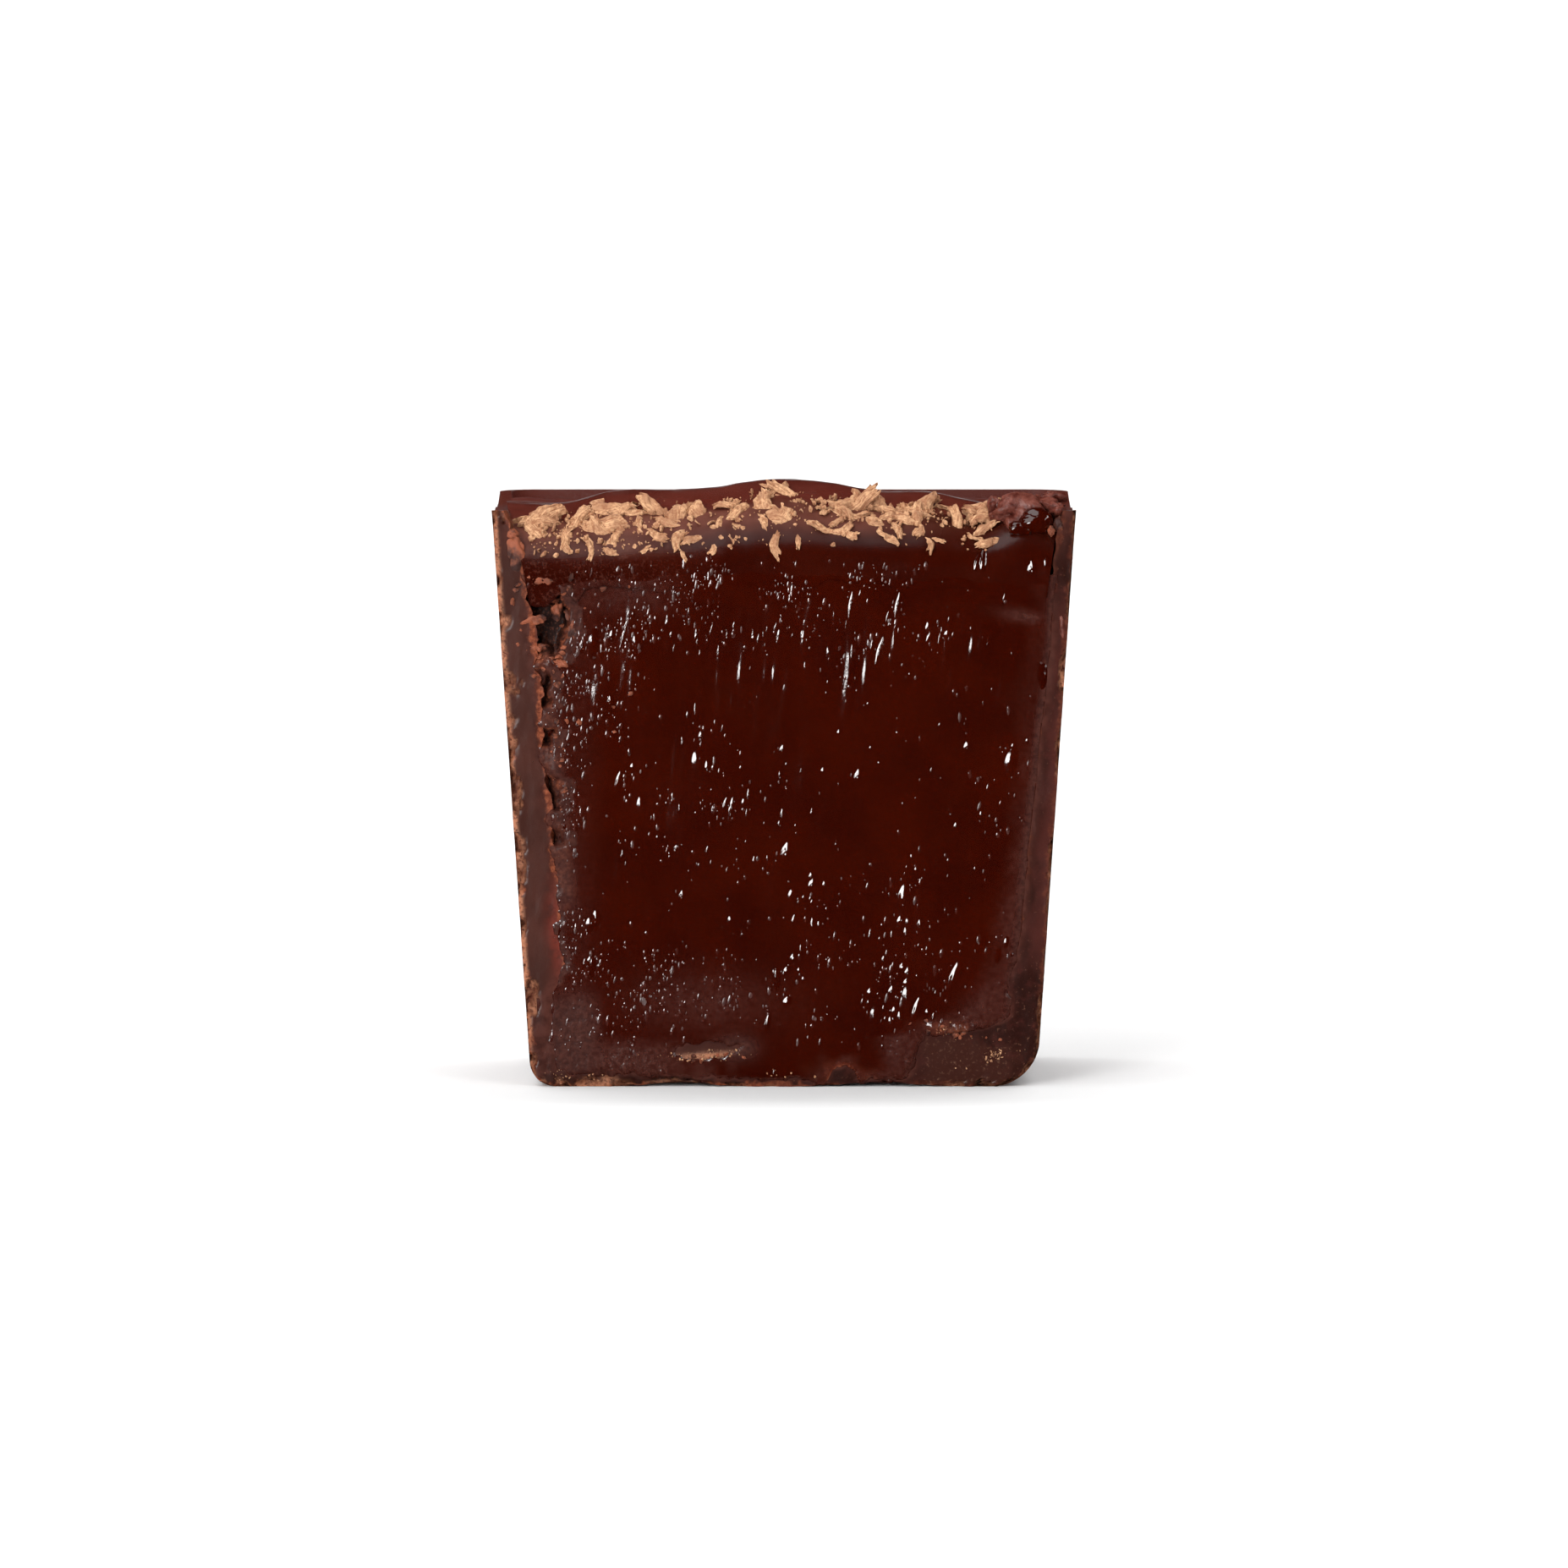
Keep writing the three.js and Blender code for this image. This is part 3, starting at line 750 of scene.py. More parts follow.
# %% Surface of the cap
CAP_LIP = 24.55
CAP_LIP_CROWN = 0.55
CROWN_AT = 2.0
CROWN_HALF_WIDTH = 6.5
LIP_ROUND = 1.7
RIDGE = 25.85
RIDGE_SHOULDER = 0.5
SHOULDER_LEFT = (-10.2, -6.6)
SHOULDER_RIGHT = (5.0, 9.6)
RIDGE_PEAK = 0.68
PEAK_HALF_WIDTH = 2.8
RIDGE_BEHIND = 5.0
CAP_BACK = 25.5
RIPPLE = 0.12
GROOVE = 0.14
LUMP_AT = 10.7
LUMP_HEIGHT = 0.75


def cap_top(x, behind):
    """Height of the cap's surface: a rolled lip, a ridge with a mound, then soft folds."""
    lip = CAP_LIP + CAP_LIP_CROWN * bump(x, CROWN_AT, CROWN_HALF_WIDTH)
    shoulder = step(x, *SHOULDER_LEFT) * fall(x, *SHOULDER_RIGHT)
    ridge = RIDGE + RIDGE_SHOULDER * shoulder + RIDGE_PEAK * bump(x, 0, PEAK_HALF_WIDTH)
    lump = LUMP_HEIGHT * bump(x, LUMP_AT, 1.3) * bump(behind, 1.6, 1.7)
    roll = rounded_edge(LIP_ROUND, behind + LIP_PROUD)
    front = lerp(lip, ridge, step(behind, -LIP_ROUND, RIDGE_BEHIND)) + lump - roll
    past = step(behind, RIDGE_BEHIND, RIM_WIDTH / 2 - WALL["back"])
    rear = lerp(ridge, CAP_BACK, past) - RIPPLE * np.sin(past * 2 * np.pi) + lump
    return np.where(behind < RIDGE_BEHIND, front, rear)


ridge_top = float(cap_top(np.array(0.0), np.array(RIDGE_BEHIND)))
print(f"the ridge is {ridge_top:.2f} mm high in the middle")


# %% Make the cap
def make_cap():
    """The cap as a closed block, and for each of its points the place across, behind and up."""
    level = FILL_EDGE + 2
    straight = hollow_side("back", level) - HOLLOW_CORNER
    lip = -LIP_PROUD + LIP_ROUND * (1 - np.cos(np.linspace(0, np.pi / 2, 18)))
    run = stations((LIP_ROUND - LIP_PROUD, 6, 0.12), (6, straight, 0.3))[1:]
    angle = np.linspace(0, np.pi / 2, 7)[1:]
    behind_stops = np.concatenate([lip, run, straight + HOLLOW_CORNER * np.sin(angle)])
    inset_stops = np.concatenate([0 * lip, 0 * run, HOLLOW_CORNER * (1 - np.cos(angle))])
    stops = np.linspace(0, 1, 221), np.arange(len(behind_stops)), np.linspace(0, 1, 17)
    u, v, w, faces = box_lattice(*stops)
    behind, inset = behind_stops[v], inset_stops[v]
    across = lerp(-hollow_side("left", level), hollow_side("right", level), u)
    soft = 0.13 * soft_noise(across * 0.45, behind * 0.5, 141)
    soft += 0.03 * soft_noise(across * 1.6, behind * 1.6, 142)
    hanging = 0.2 + 0.3 * fall(across, -9.5, -7.5)
    under = fill_top(across) - 0.2 + hanging * rough_noise(across * 0.9, 0 * across, 145)
    z = lerp(under, cap_top(across, behind) + soft, w)
    groove = 0.05 - GROOVE * fall(behind, 0.25, 0.8)
    x = lerp(-hollow_side("left", z) + inset - 0.05, hollow_side("right", z) - inset + groove, u)
    leaning = (hollow_side("back", z) / hollow_side("back", level) - 1) * step(behind, 5, straight)
    face = (v == 0) * (LIP_PROUD - cap_front(x, z))
    cap = mesh_object("ganache_cap", np.stack([x, CUT + behind * (1 + leaning) + face, z], -1), faces)
    shade(cap, 60)
    return cap, across, behind, z


cap, across, behind, z = make_cap()
print(f"cap: {len(cap.data.polygons)} faces")

# %% Paint the cap
# Painted sheen: the rolled top of the lip is painted a lighter mauve, less towards the right.
lip_sheen = step(behind, -0.05, 0.7) * (1 - 0.8 * step(behind, 1.3, 2.2)) * (1 - 0.85 * step(across, 3, 8))
roll = step(behind, -0.19, 0.1) * (1 - 0.7 * step(behind, 1.3, 2.2)) * (1 - 0.8 * step(across, 4, 8))
cap_paints = {
    # The top paint holds the lip's painted sheen, and the same lighter tone low on the left of the front.
    "top": np.maximum(lip_sheen, 0.6 * fall(across, -7.5, -3.0) * step(z, 23.5, 24.3)),
    # Painted sheen: the slope behind the lip is painted a lighter brown.
    "slope": step(behind, 1.3, 2.4),
    "grainy": fall(across, -7.0, -2.5) * fall(behind, 0.0, 0.4),
    "roll": roll,
    "rear": step(behind, 4.8, 7.0),
}
paint_all(cap, cap_paints)

# %% [markdown]
# ## Wiring materials
#
# Shader trees are easier to read as sums than as boxes. The small class below holds one socket and
# lets it be added, multiplied and fed into further nodes.


# %% A socket that can be calculated with
class Wire:
    """One output socket of a node tree."""

    def __init__(self, tree, socket):
        self.tree = tree
        self.socket = socket

    def node(self, kind, settings, values, out=0):
        """Adds a node, sets it up, feeds its sockets and returns the wire that leaves it."""
        made = self.tree.nodes.new(kind)
        for name, value in settings.items():
            setattr(made, name, value)
        for name, value in values.items():
            if isinstance(value, Wire):
                self.tree.links.new(value.socket, made.inputs[name])
            else:
                made.inputs[name].default_value = value
        return Wire(self.tree, made.outputs[out])

    def maths(self, operation, first, second):
        """One Math node on two wires or numbers."""
        return self.node("ShaderNodeMath", {"operation": operation}, {0: first, 1: second})

    def __add__(self, other):
        return self.maths("ADD", self, other)

    def __radd__(self, other):
        return self.maths("ADD", other, self)

    def __sub__(self, other):
        return self.maths("SUBTRACT", self, other)

    def __rsub__(self, other):
        return self.maths("SUBTRACT", other, self)

    def __mul__(self, other):
        return self.maths("MULTIPLY", self, other)

    def __rmul__(self, other):
        return self.maths("MULTIPLY", other, self)

    def noise(self, per_mm, detail=3.0, roughness=0.55):
        """Noise at this many features a millimetre, read at the wire's places."""
        values = {"Vector": self, "Scale": per_mm / MM, "Detail": detail, "Roughness": roughness}
        return self.node("ShaderNodeTexNoise", {}, values, "Fac")

    def between(self, low, high):
        """0 below low, 1 above high, smooth between them."""
        settings = {"interpolation_type": "SMOOTHSTEP"}
        return self.node("ShaderNodeMapRange", settings, {"Value": self, "From Min": low, "From Max": high})

    def mix(self, first, second):
        """Blends two colours with this wire as the share of the second."""
        return self.node("ShaderNodeMix", {"data_type": "RGBA"}, {0: self, 6: first, 7: second}, 2)


# %% Colours and empty materials
def colour(red, green, blue):
    """A display colour from 0 to 255 as the linear colour that a shader takes."""
    shares = np.array([red, green, blue]) / 255
    linear = np.where(shares <= 0.04045, shares / 12.92, ((shares + 0.055) / 1.055) ** 2.4)
    return (*linear.tolist(), 1.0)


def new_material(name):
    """An empty principled material: the material, its places in object space and its shader node."""
    material = bpy.data.materials.new(name)
    material.use_nodes = True
    tree = material.node_tree
    shader = tree.nodes["Principled BSDF"]
    places = Wire(tree, tree.nodes.new("ShaderNodeTexCoord").outputs["Object"])
    return material, places, shader


def painted(wire, name):
    """What is painted on the mesh under this name."""
    return wire.node("ShaderNodeAttribute", {"attribute_name": name}, {}, "Fac")


def dress(shader, places, base, roughness, height, depth_mm):
    """Feeds a shader its colour, roughness and fine surface."""
    tree = places.tree
    tree.links.new(base.socket, shader.inputs["Base Color"])
    tree.links.new(roughness.socket, shader.inputs["Roughness"])
    bumps = places.node("ShaderNodeBump", {}, {"Height": height, "Distance": depth_mm * MM}, "Normal")
    tree.links.new(bumps.socket, shader.inputs["Normal"])


print(f"display grey 128 is {colour(128, 128, 128)[0]:.2f} in linear light")

# %% [markdown]
# ## Chocolate of the cup
#
# Tempered chocolate has a satin, mauve-brown sheen where the knife smoothed it, orange-brown rough
# edges, and a dusty look outside. The paints on the vertices say where each of these is, and noise at
# several sizes breaks up their borders, so no line looks drawn.

# %% Cup chocolate
cup_material, places, shader = new_material("cup chocolate")
cut = painted(places, "cut")
chipped = painted(places, "chipped")
left_side = painted(places, "left_side")
cloud = places.noise(0.35)
fine = places.noise(6.0, 4.0, 0.65)
broken = places.noise(2.0, 4.0, 0.6)
left_tone = cloud.between(0.35, 0.7).mix(colour(58, 28, 21), colour(70, 36, 28))
smooth_tone = left_side.mix(colour(67, 28, 22), left_tone)
# Smeared ganache and painted shade at the foot and the right wall's top share this dark tone.
stain = painted(places, "stain") * broken.between(0.2, 0.55)
speck = fine.between(0.6, 0.7)
stain_and_shade_tone = (speck * (1 - left_side)).mix(colour(40, 13, 7), colour(92, 58, 44))
dusty_tone = fine.between(0.45, 0.72).mix(colour(104, 56, 39), colour(172, 122, 93))
dusty = painted(places, "outside") * cloud.between(0.4, 0.65) * (0.15 + 0.85 * left_side)
outer_tone = dusty.mix(colour(84, 34, 25), dusty_tone)
smeared_tone = broken.between(0.35, 0.65).mix(colour(54, 22, 15), colour(74, 37, 29))
scraped_tone = fine.between(0.54, 0.74).mix(colour(56, 24, 16), colour(96, 64, 50))
torn_tone = fine.between(0.35, 0.65).mix(colour(92, 40, 22), colour(148, 78, 50))
near_edge = 1 - (painted(places, "edge") + 0.9 * (broken - 0.5)).between(0.04, 0.26)
base = cut.mix(outer_tone, smooth_tone)
base = stain.mix(base, stain_and_shade_tone)
base = painted(places, "smeared").mix(base, smeared_tone)
base = painted(places, "scraped").mix(base, scraped_tone)
base = (painted(places, "blush") * broken.between(0.25, 0.6)).mix(base, colour(108, 40, 28))
base = (near_edge * cut * (0.2 + 0.7 * left_side)).mix(base, torn_tone)
base = (chipped * fine.between(0.3, 0.56)).mix(base, colour(182, 122, 90))
roughness = 0.3 + 0.25 * fine * (1 - cut) + 0.5 * chipped
shader.inputs["Specular IOR Level"].default_value = 0.25
dress(shader, places, base, roughness, fine * (0.35 + 0.75 * (1 - cut) + chipped), 0.03)
give(cup, cup_material)
print(f"cup chocolate: {len(places.tree.nodes)} nodes")

# %% [markdown]
# ## Ganache of the filling
#
# Ganache is wet: nearly black-red, with a gloss that breaks into small highlights on every bead. Beside
# the crevice and along torn edges it is dry and crumbly instead. One shader can't be both, because its
# index of refraction is one number, so a wet and a dry shader are mixed by what is painted.

# %% Filling ganache
WET_IOR = 1.8
filling_material, places, shader = new_material("filling ganache")
dull = painted(places, "dull")
rusty = painted(places, "rust")
fine = places.noise(5.0, 4.0, 0.6)
grain = places.noise(9.0, 2.0, 0.5)
deep_tone = places.noise(0.4).between(0.3, 0.7).mix(colour(45, 5, 0), colour(52, 7, 0))
dull_tone = fine.between(0.3, 0.7).mix(colour(55, 18, 11), colour(76, 38, 30))
base = rusty.mix(dull.mix(deep_tone, dull_tone), colour(116, 50, 30))
roughness = 0.08 + 0.2 * dull * fine
shader.inputs["IOR"].default_value = WET_IOR
dress(shader, places, base, roughness, fine * (0.1 + 0.3 * dull) + 0.4 * grain * dull, 0.03)

tree = places.tree
dry_shader = tree.nodes.new("ShaderNodeBsdfPrincipled")
dry_shader.inputs["Specular IOR Level"].default_value = 0.15
# Painted shade: darker tones deep in the crevice's pits.
pit_shade_tone = grain.between(0.5, 0.7).mix(colour(36, 14, 9), colour(84, 44, 30))
rust_tone = fine.between(0.35, 0.65).mix(colour(92, 42, 26), colour(140, 76, 50))
dry_tone = fine.between(0.35, 0.7).mix(colour(52, 19, 12), colour(72, 34, 25))
dry_tone = painted(places, "deep").mix(dry_tone, pit_shade_tone)
dry_tone = rusty.mix(dry_tone, rust_tone)
dress(dry_shader, places, dry_tone, 0.45 + 0.3 * fine, fine + 0.4 * grain, 0.04)
shaders = {0: painted(places, "dry"), 1: Wire(tree, shader.outputs[0]), 2: Wire(tree, dry_shader.outputs[0])}
both = places.node("ShaderNodeMixShader", {}, shaders)
tree.links.new(both.socket, tree.nodes["Material Output"].inputs["Surface"])
give(filling, filling_material)
print(f"filling ganache: {len(tree.nodes)} nodes")

# %% [markdown]
# ## Ganache of the cap
#
# The cap was poured and left to set, so it is smoother than the filling: deep red in front, with a
# lighter mauve painted sheen where the lip rolls over and a browner painted sheen on the slope behind.
# Its roughness changes along with its tone, since a skin that has set scatters the light of the lamps.

# %% Cap ganache
cap_material, places, shader = new_material("cap ganache")
fine = places.noise(3.0, 3.0, 0.5)
cloud = places.noise(0.5)
grainy = painted(places, "grainy")
grain = places.noise(6.0, 4.0, 0.65)
front_tone = places.noise(0.3).between(0.35, 0.65).mix(colour(44, 5, 0), colour(51, 8, 1))
# Painted sheen: lighter tones on the lip's roll and on the slope behind it.
lip_sheen_tone = cloud.between(0.35, 0.65).mix(colour(80, 36, 25), colour(100, 54, 42))
slope_sheen_tone = cloud.between(0.3, 0.7).mix(colour(84, 31, 22), colour(94, 40, 31))
base = painted(places, "top").mix(front_tone, lip_sheen_tone)
base = painted(places, "slope").mix(base, slope_sheen_tone)
base = (0.5 * grainy * grain.between(0.5, 0.75)).mix(base, colour(92, 52, 42))
roughness = 0.14 + painted(places, "roll") * (0.22 + 0.3 * cloud)
roughness = roughness + painted(places, "rear") * (0.2 + 0.2 * cloud)
shader.inputs["Specular IOR Level"].default_value = 0.45
dress(shader, places, base, roughness, 0.3 * fine + 0.25 * grainy * grain, 0.03)
give(cap, cap_material)
print(f"cap ganache: {len(places.tree.nodes)} nodes")

# %% [markdown]
# ## The flakes
#
# The flakes are shavings of light chocolate, curled and ragged at the ends. A few kinds of shavings are
# modelled, each a thin lattice that is arched across, bent along and torn at its ends. They are put
# away in a collection, from which a Geometry Nodes tree picks them.

# %% Shapes of shavings
FLAKE_THICKNESS = 0.14
SHAVING_KINDS = 9


def jagged(at, seed):
    """Broken noise from -1 to 1: straight runs between random heights, one for each unit."""
    table = np.random.default_rng(seed).uniform(-1, 1, 64)
    i = np.floor(at).astype(int)
    return lerp(table[i % 64], table[(i + 1) % 64], at - i)


def make_shaving(number, stops_along, stops_across):
    """A shaving one millimetre long, arched across and ribbed along; every third one is a fan."""
    draw = np.random.default_rng(200 + number)
    stops = np.linspace(0, 1, stops_along), np.linspace(0, 1, stops_across), np.linspace(0, 1, 2)
    u, v, w, faces = box_lattice(*stops)
    curl = lerp(0.4, 1.6, number / (SHAVING_KINDS - 1))
    fan = 0.25 + 0.4 * u if number % 3 == 2 else 0.3 * np.sin(np.pi * np.clip(u, 0.1, 0.9)) ** 0.3
    ragged = 1 + 0.12 * jagged(u * 6, 210 + number) + 0.1 * jagged(u * 17 + 3 * np.round(v), 215 + number)
    width = draw.uniform(0.8, 1.15) * fan * ragged
    arch = draw.uniform(0.5, 1.3)
    turn = 2 * arch * (v - 0.5)
    edge = np.minimum(1, 5 * np.minimum(v, 1 - v)) * np.minimum(1, 8 * np.minimum(u, 1 - u))
    fibre = v + 0.12 * soft_noise(u * 4, v, 245)
    ribs = 0.025 * jagged(fibre * 7, 240 + number) + 0.022 * rough_noise(u * 9, v * 5 + number, 248)
    outwards = (w - 0.5) * FLAKE_THICKNESS * (0.5 + 0.5 * edge) + ribs
    side = width / (2 * arch) * np.sin(turn) + outwards * np.sin(turn)
    rise = width / (2 * arch) * (np.cos(turn) - 1) + outwards * np.cos(turn)
    ends = 0.16 * jagged(v * 8 + 20 * np.round(u), 230 + number)
    along = u - 0.5 + ends * (2 * np.abs(u - 0.5)) ** 2
    bow = draw.uniform(-1.0, 1.0) * ((u - 0.5) ** 2 - 0.1)
    twist = draw.uniform(-1.2, 1.2) * (u - 0.5)
    waves = 0.06 * soft_noise(u * 4, v * 2 + number, 250 + number)
    out = 1 / curl + rise * np.cos(twist) + side * np.sin(twist) + waves
    across = side * np.cos(twist) - rise * np.sin(twist) + bow
    bend = along * curl
    points = np.stack([np.sin(bend) * out, across, np.cos(bend) * out - 1 / curl], -1)
    shaving = mesh_object(f"shaving_{number}", points, faces)
    paint(shaving, "along", u)
    paint(shaving, "across", fibre + number)
    shade(shaving, 30)
    return shaving


def set_of_shapes(name, shapes):
    """Puts mesh objects away in a collection, out of the scene, that a tree can pick from."""
    kept = bpy.data.collections.new(name)
    for shape in shapes:
        bpy.context.scene.collection.objects.unlink(shape)
        kept.objects.link(shape)
    return kept


kinds = range(SHAVING_KINDS)
fine_kinds = [make_shaving(number, stops_along=37, stops_across=13) for number in kinds]
coarse_kinds = [make_shaving(number, stops_along=13, stops_across=5) for number in kinds]
shavings = set_of_shapes("shavings", fine_kinds)
splinter_shapes = set_of_shapes("splinters", coarse_kinds)
print(f"{SHAVING_KINDS} kinds of shavings")

# %% [markdown]
# ## Where the flakes lie
#
# Someone dropped the flakes by the pinch, so they lie heaped in clumps on the slope behind the lip,
# with smaller ones strewn nearer to the cut. The solid part already has flakes in these places, drawn
# by the same rule, so the draws are repeated here in the same order and each flake lands on its solid.

# %% Draw the places of the flakes
CLUMPS = (-10.6, -8.3, -6.6, -4.7, -2.0, 0.2, 2.4, 5.0, 6.4, 8.5)
CLUMP_SIZES = (1.1, 1.2, 0.8, 1.1, 0.85, 1.3, 0.95, 0.85, 0.95, 1.15)
CLUMP_SPREAD = 2.0
FLAKES_PER_CLUMP = 6
FLAKE_SHRINK = 0.1
LOOSE_FLAKES = 20
LOOSE_SHARE = 0.4
FLAKE_LENGTH = 2.2
FLAKE_NEAR = -0.1
FLAKE_FAR = 2.1
FLAKE_LEAN = 0.85
FLAKE_TILT = 1.0
FLAKE_SEED = 22
# Draws that shape a flake of the solid part and are passed over here.
SHAPE_DRAWS = 8


def lottery(seed):
    """Repeatable draws from 0 to 1, the same ones as the solid part uses."""
    while True:
        seed = (seed * 1664525 + 1013904223) % 2**32
        yield seed / 2**32


def laid_flake(x, behind, length, draw):
    """Where one flake lies: place, size, turn and the kind of shaving."""
    size = length * (0.8 + 0.3 * next(draw))
    curl = next(draw)
    for _ in range(SHAPE_DRAWS):
        next(draw)
    turn = Matrix.Rotation(next(draw) * 2 * math.pi, 3, "Z")
    roll = Matrix.Rotation((next(draw) - 0.5) * FLAKE_TILT, 3, "Y")
    lean = Matrix.Rotation(FLAKE_LEAN + (next(draw) - 0.5) * FLAKE_TILT, 3, "X")
    angles = (lean @ roll @ turn).to_euler()
    room = 0.45 * size
    x = float(np.clip(x, room - hollow_side("left", CAP_LIP), hollow_side("right", CAP_LIP) - room))
    height = float(cap_top(np.array(x), np.array(behind))) + 0.03 * size
    return (x, CUT + behind, height), size, tuple(angles), int(curl * SHAVING_KINDS)


def flake_places():
    """The flakes, largest first: heaped round the clumps, then strewn along the lip."""
    draw = lottery(FLAKE_SEED)
    laid = []
    for k in range(FLAKES_PER_CLUMP):
        for clump, share in zip(CLUMPS, CLUMP_SIZES):
            x = clump + CLUMP_SPREAD * (next(draw) - 0.5)
            behind = lerp(FLAKE_FAR, FLAKE_NEAR, (k + next(draw)) / FLAKES_PER_CLUMP)
            laid.append(laid_flake(x, behind, FLAKE_LENGTH * share * (1 - FLAKE_SHRINK * k), draw))
    for i in range(LOOSE_FLAKES):
        x = lerp(CLUMPS[0], CLUMPS[-1], (i + next(draw)) / LOOSE_FLAKES)
        laid.append(laid_flake(x, FLAKE_NEAR + next(draw), FLAKE_LENGTH * LOOSE_SHARE, draw))
    return laid


flake_spots, flake_sizes, flake_turns, flake_kinds = zip(*flake_places())
print(f"{len(flake_spots)} flakes")

# %% [markdown]
# ## Chocolate of the flakes
#
# A shaving is dry, pale and fibrous, because the blade tears the chocolate along its length. Each
# shaving carries how far along and across it a point lies, so the fibres can be noise that is long in
# one direction and short in the other, whichever way the flake was turned.

# %% Flake chocolate
flake_material, places, shader = new_material("flake chocolate")
fine = places.noise(7.0, 4.0, 0.6)
broad = places.noise(1.2, 2.0, 0.5)
strands = {"X": 3.0 * painted(places, "along"), "Y": 16.0 * painted(places, "across"), "Z": 2.0 * broad}
strand = places.node("ShaderNodeCombineXYZ", {}, strands)
fibres = places.node("ShaderNodeTexNoise", {}, {"Vector": strand, "Scale": 1.0, "Detail": 3.0}, "Fac")
base = (0.5 * fine + 0.5 * fibres).between(0.38, 0.62).mix(colour(154, 100, 66), colour(222, 174, 132))
base = (broad.between(0.55, 0.35) * 0.6).mix(base, colour(150, 98, 68))
dress(shader, places, base, 0.6 + 0.3 * fine, 0.6 * fine + 0.6 * fibres, 0.05)
print(f"flake chocolate: {len(places.tree.nodes)} nodes")

# %% [markdown]
# ## Laying the flakes
#
# A Geometry Nodes tree puts a shaving on every point and turns and scales it by what the point
# carries. Copies placed by a loop would do the same, but a tree shows how instances work, and it ends
# by making them real, so the piece becomes one plain mesh.

# %% Helpers for node trees


def new_tree(name, inputs):
    """A Geometry Nodes tree with named inputs: the tree and a wire for each input."""
    tree = bpy.data.node_groups.new(name, "GeometryNodeTree")
    tree.interface.new_socket("Geometry", in_out="OUTPUT", socket_type="NodeSocketGeometry")
    tree.interface.new_socket("Geometry", in_out="INPUT", socket_type="NodeSocketGeometry")
    for label, kind in inputs.items():
        tree.interface.new_socket(label, in_out="INPUT", socket_type=kind)
    entry = tree.nodes.new("NodeGroupInput")
    return tree, {socket.name: Wire(tree, socket) for socket in entry.outputs if socket.name}


def carried(wire, name, kind):
    """What each point carries under this name."""
    return wire.node("GeometryNodeInputNamedAttribute", {"data_type": kind}, {"Name": name})


def members(wire, collection):
    """The shapes of a collection, each to be picked on its own."""
    values = {"Collection": collection, "Separate Children": True, "Reset Children": True}
    return wire.node("GeometryNodeCollectionInfo", {}, values)


def put_on_points(points, shapes, kind, rotation, scale):
    """An instance of one shape on each point."""
    values = {"Points": points, "Instance": shapes, "Pick Instance": True, "Instance Index": kind}
    values.update({"Rotation": rotation, "Scale": scale})
    return points.node("GeometryNodeInstanceOnPoints", {}, values)


def close_tree(tree, wire, material):
    """Realizes what the wire carries, gives it the material and ends the tree."""
    real = wire.node("GeometryNodeRealizeInstances", {}, {"Geometry": wire})
    dressed = real.node("GeometryNodeSetMaterial", {}, {"Geometry": real, "Material": material})
    tree.links.new(dressed.socket, tree.nodes.new("NodeGroupOutput").inputs[0])


def run_tree(piece, tree, settings):
    """Puts the tree on a piece with its inputs set, and turns the result into a plain mesh."""
    modifier = piece.modifiers.new(tree.name, "NODES")
    modifier.node_group = tree
    for item in tree.interface.items_tree:
        if item.item_type == "SOCKET" and item.in_out == "INPUT" and item.name in settings:
            modifier[item.identifier] = settings[item.name]
    plain_mesh(piece)
    print(f"{piece.name}: {len(piece.data.polygons)} faces")


# %% Lay the flakes
tree, entry = new_tree("lay flakes", {"Shavings": "NodeSocketCollection", "Size": "NodeSocketFloat"})
start = entry["Geometry"]
angles = start.node("FunctionNodeEulerToRotation", {}, {0: carried(start, "turn", "FLOAT_VECTOR")})
scale = carried(start, "size", "FLOAT") * entry["Size"]
kind = carried(start, "kind", "INT")
close_tree(tree, put_on_points(start, members(start, entry["Shavings"]), kind, angles, scale), flake_material)

flakes = mesh_object("chocolate_flakes", flake_spots, [])
paint(flakes, "size", flake_sizes)
paint(flakes, "turn", flake_turns, "FLOAT_VECTOR")
paint(flakes, "kind", flake_kinds, "INT")
run_tree(flakes, tree, {"Shavings": shavings, "Size": 1.0})

# %% [markdown]
# ## Crumbs and splinters
#
# Where chocolate is shaved there is dust: hundreds of crumbs and small splinters lie between the
# flakes, and a few have rolled over the lip. A second tree scatters shapes over a patch of the
# surface, more where the patch is painted thicker. The patch itself does not stay in the piece.

# %% Shapes of crumbs
CRUMB_KINDS = 5


def blob(middle, radii, seed, unevenness, detail):
    """A rounded lump as points and faces."""
    edit = bmesh.new()
    bmesh.ops.create_icosphere(edit, subdivisions=detail, radius=1)
    points = np.array([vert.co for vert in edit.verts])
    faces = [[vert.index for vert in face.verts] for face in edit.faces]
    edit.free()
    uneven = 1 + unevenness * rough_noise(points[:, 0] * 1.3 + 9, points[:, 2] * 1.3 + points[:, 1] + 9, seed)
    return points * uneven[:, None] * np.array(radii) + np.array(middle), faces


def make_crumb(number):
    """A crumb about two millimetres long, to be scaled down."""
    crumb = mesh_object(f"crumb_{number}", *blob((0, 0, 0), (1, 0.75, 0.6), 300 + number, 0.45, detail=2))
    shade(crumb, 35)
    return crumb


crumb_shapes = set_of_shapes("crumbs", [make_crumb(number) for number in range(CRUMB_KINDS)])
print(f"{CRUMB_KINDS} kinds of crumbs")

# %% A tree that strews
STREW_INPUTS = {
    "Shapes": "NodeSocketCollection",
    "Pieces per square millimetre": "NodeSocketFloat",
    "Smallest": "NodeSocketFloat",
    "Largest": "NodeSocketFloat",
    "Least turn": "NodeSocketVector",
    "Most turn": "NodeSocketVector",
    "Seed": "NodeSocketInt",
}


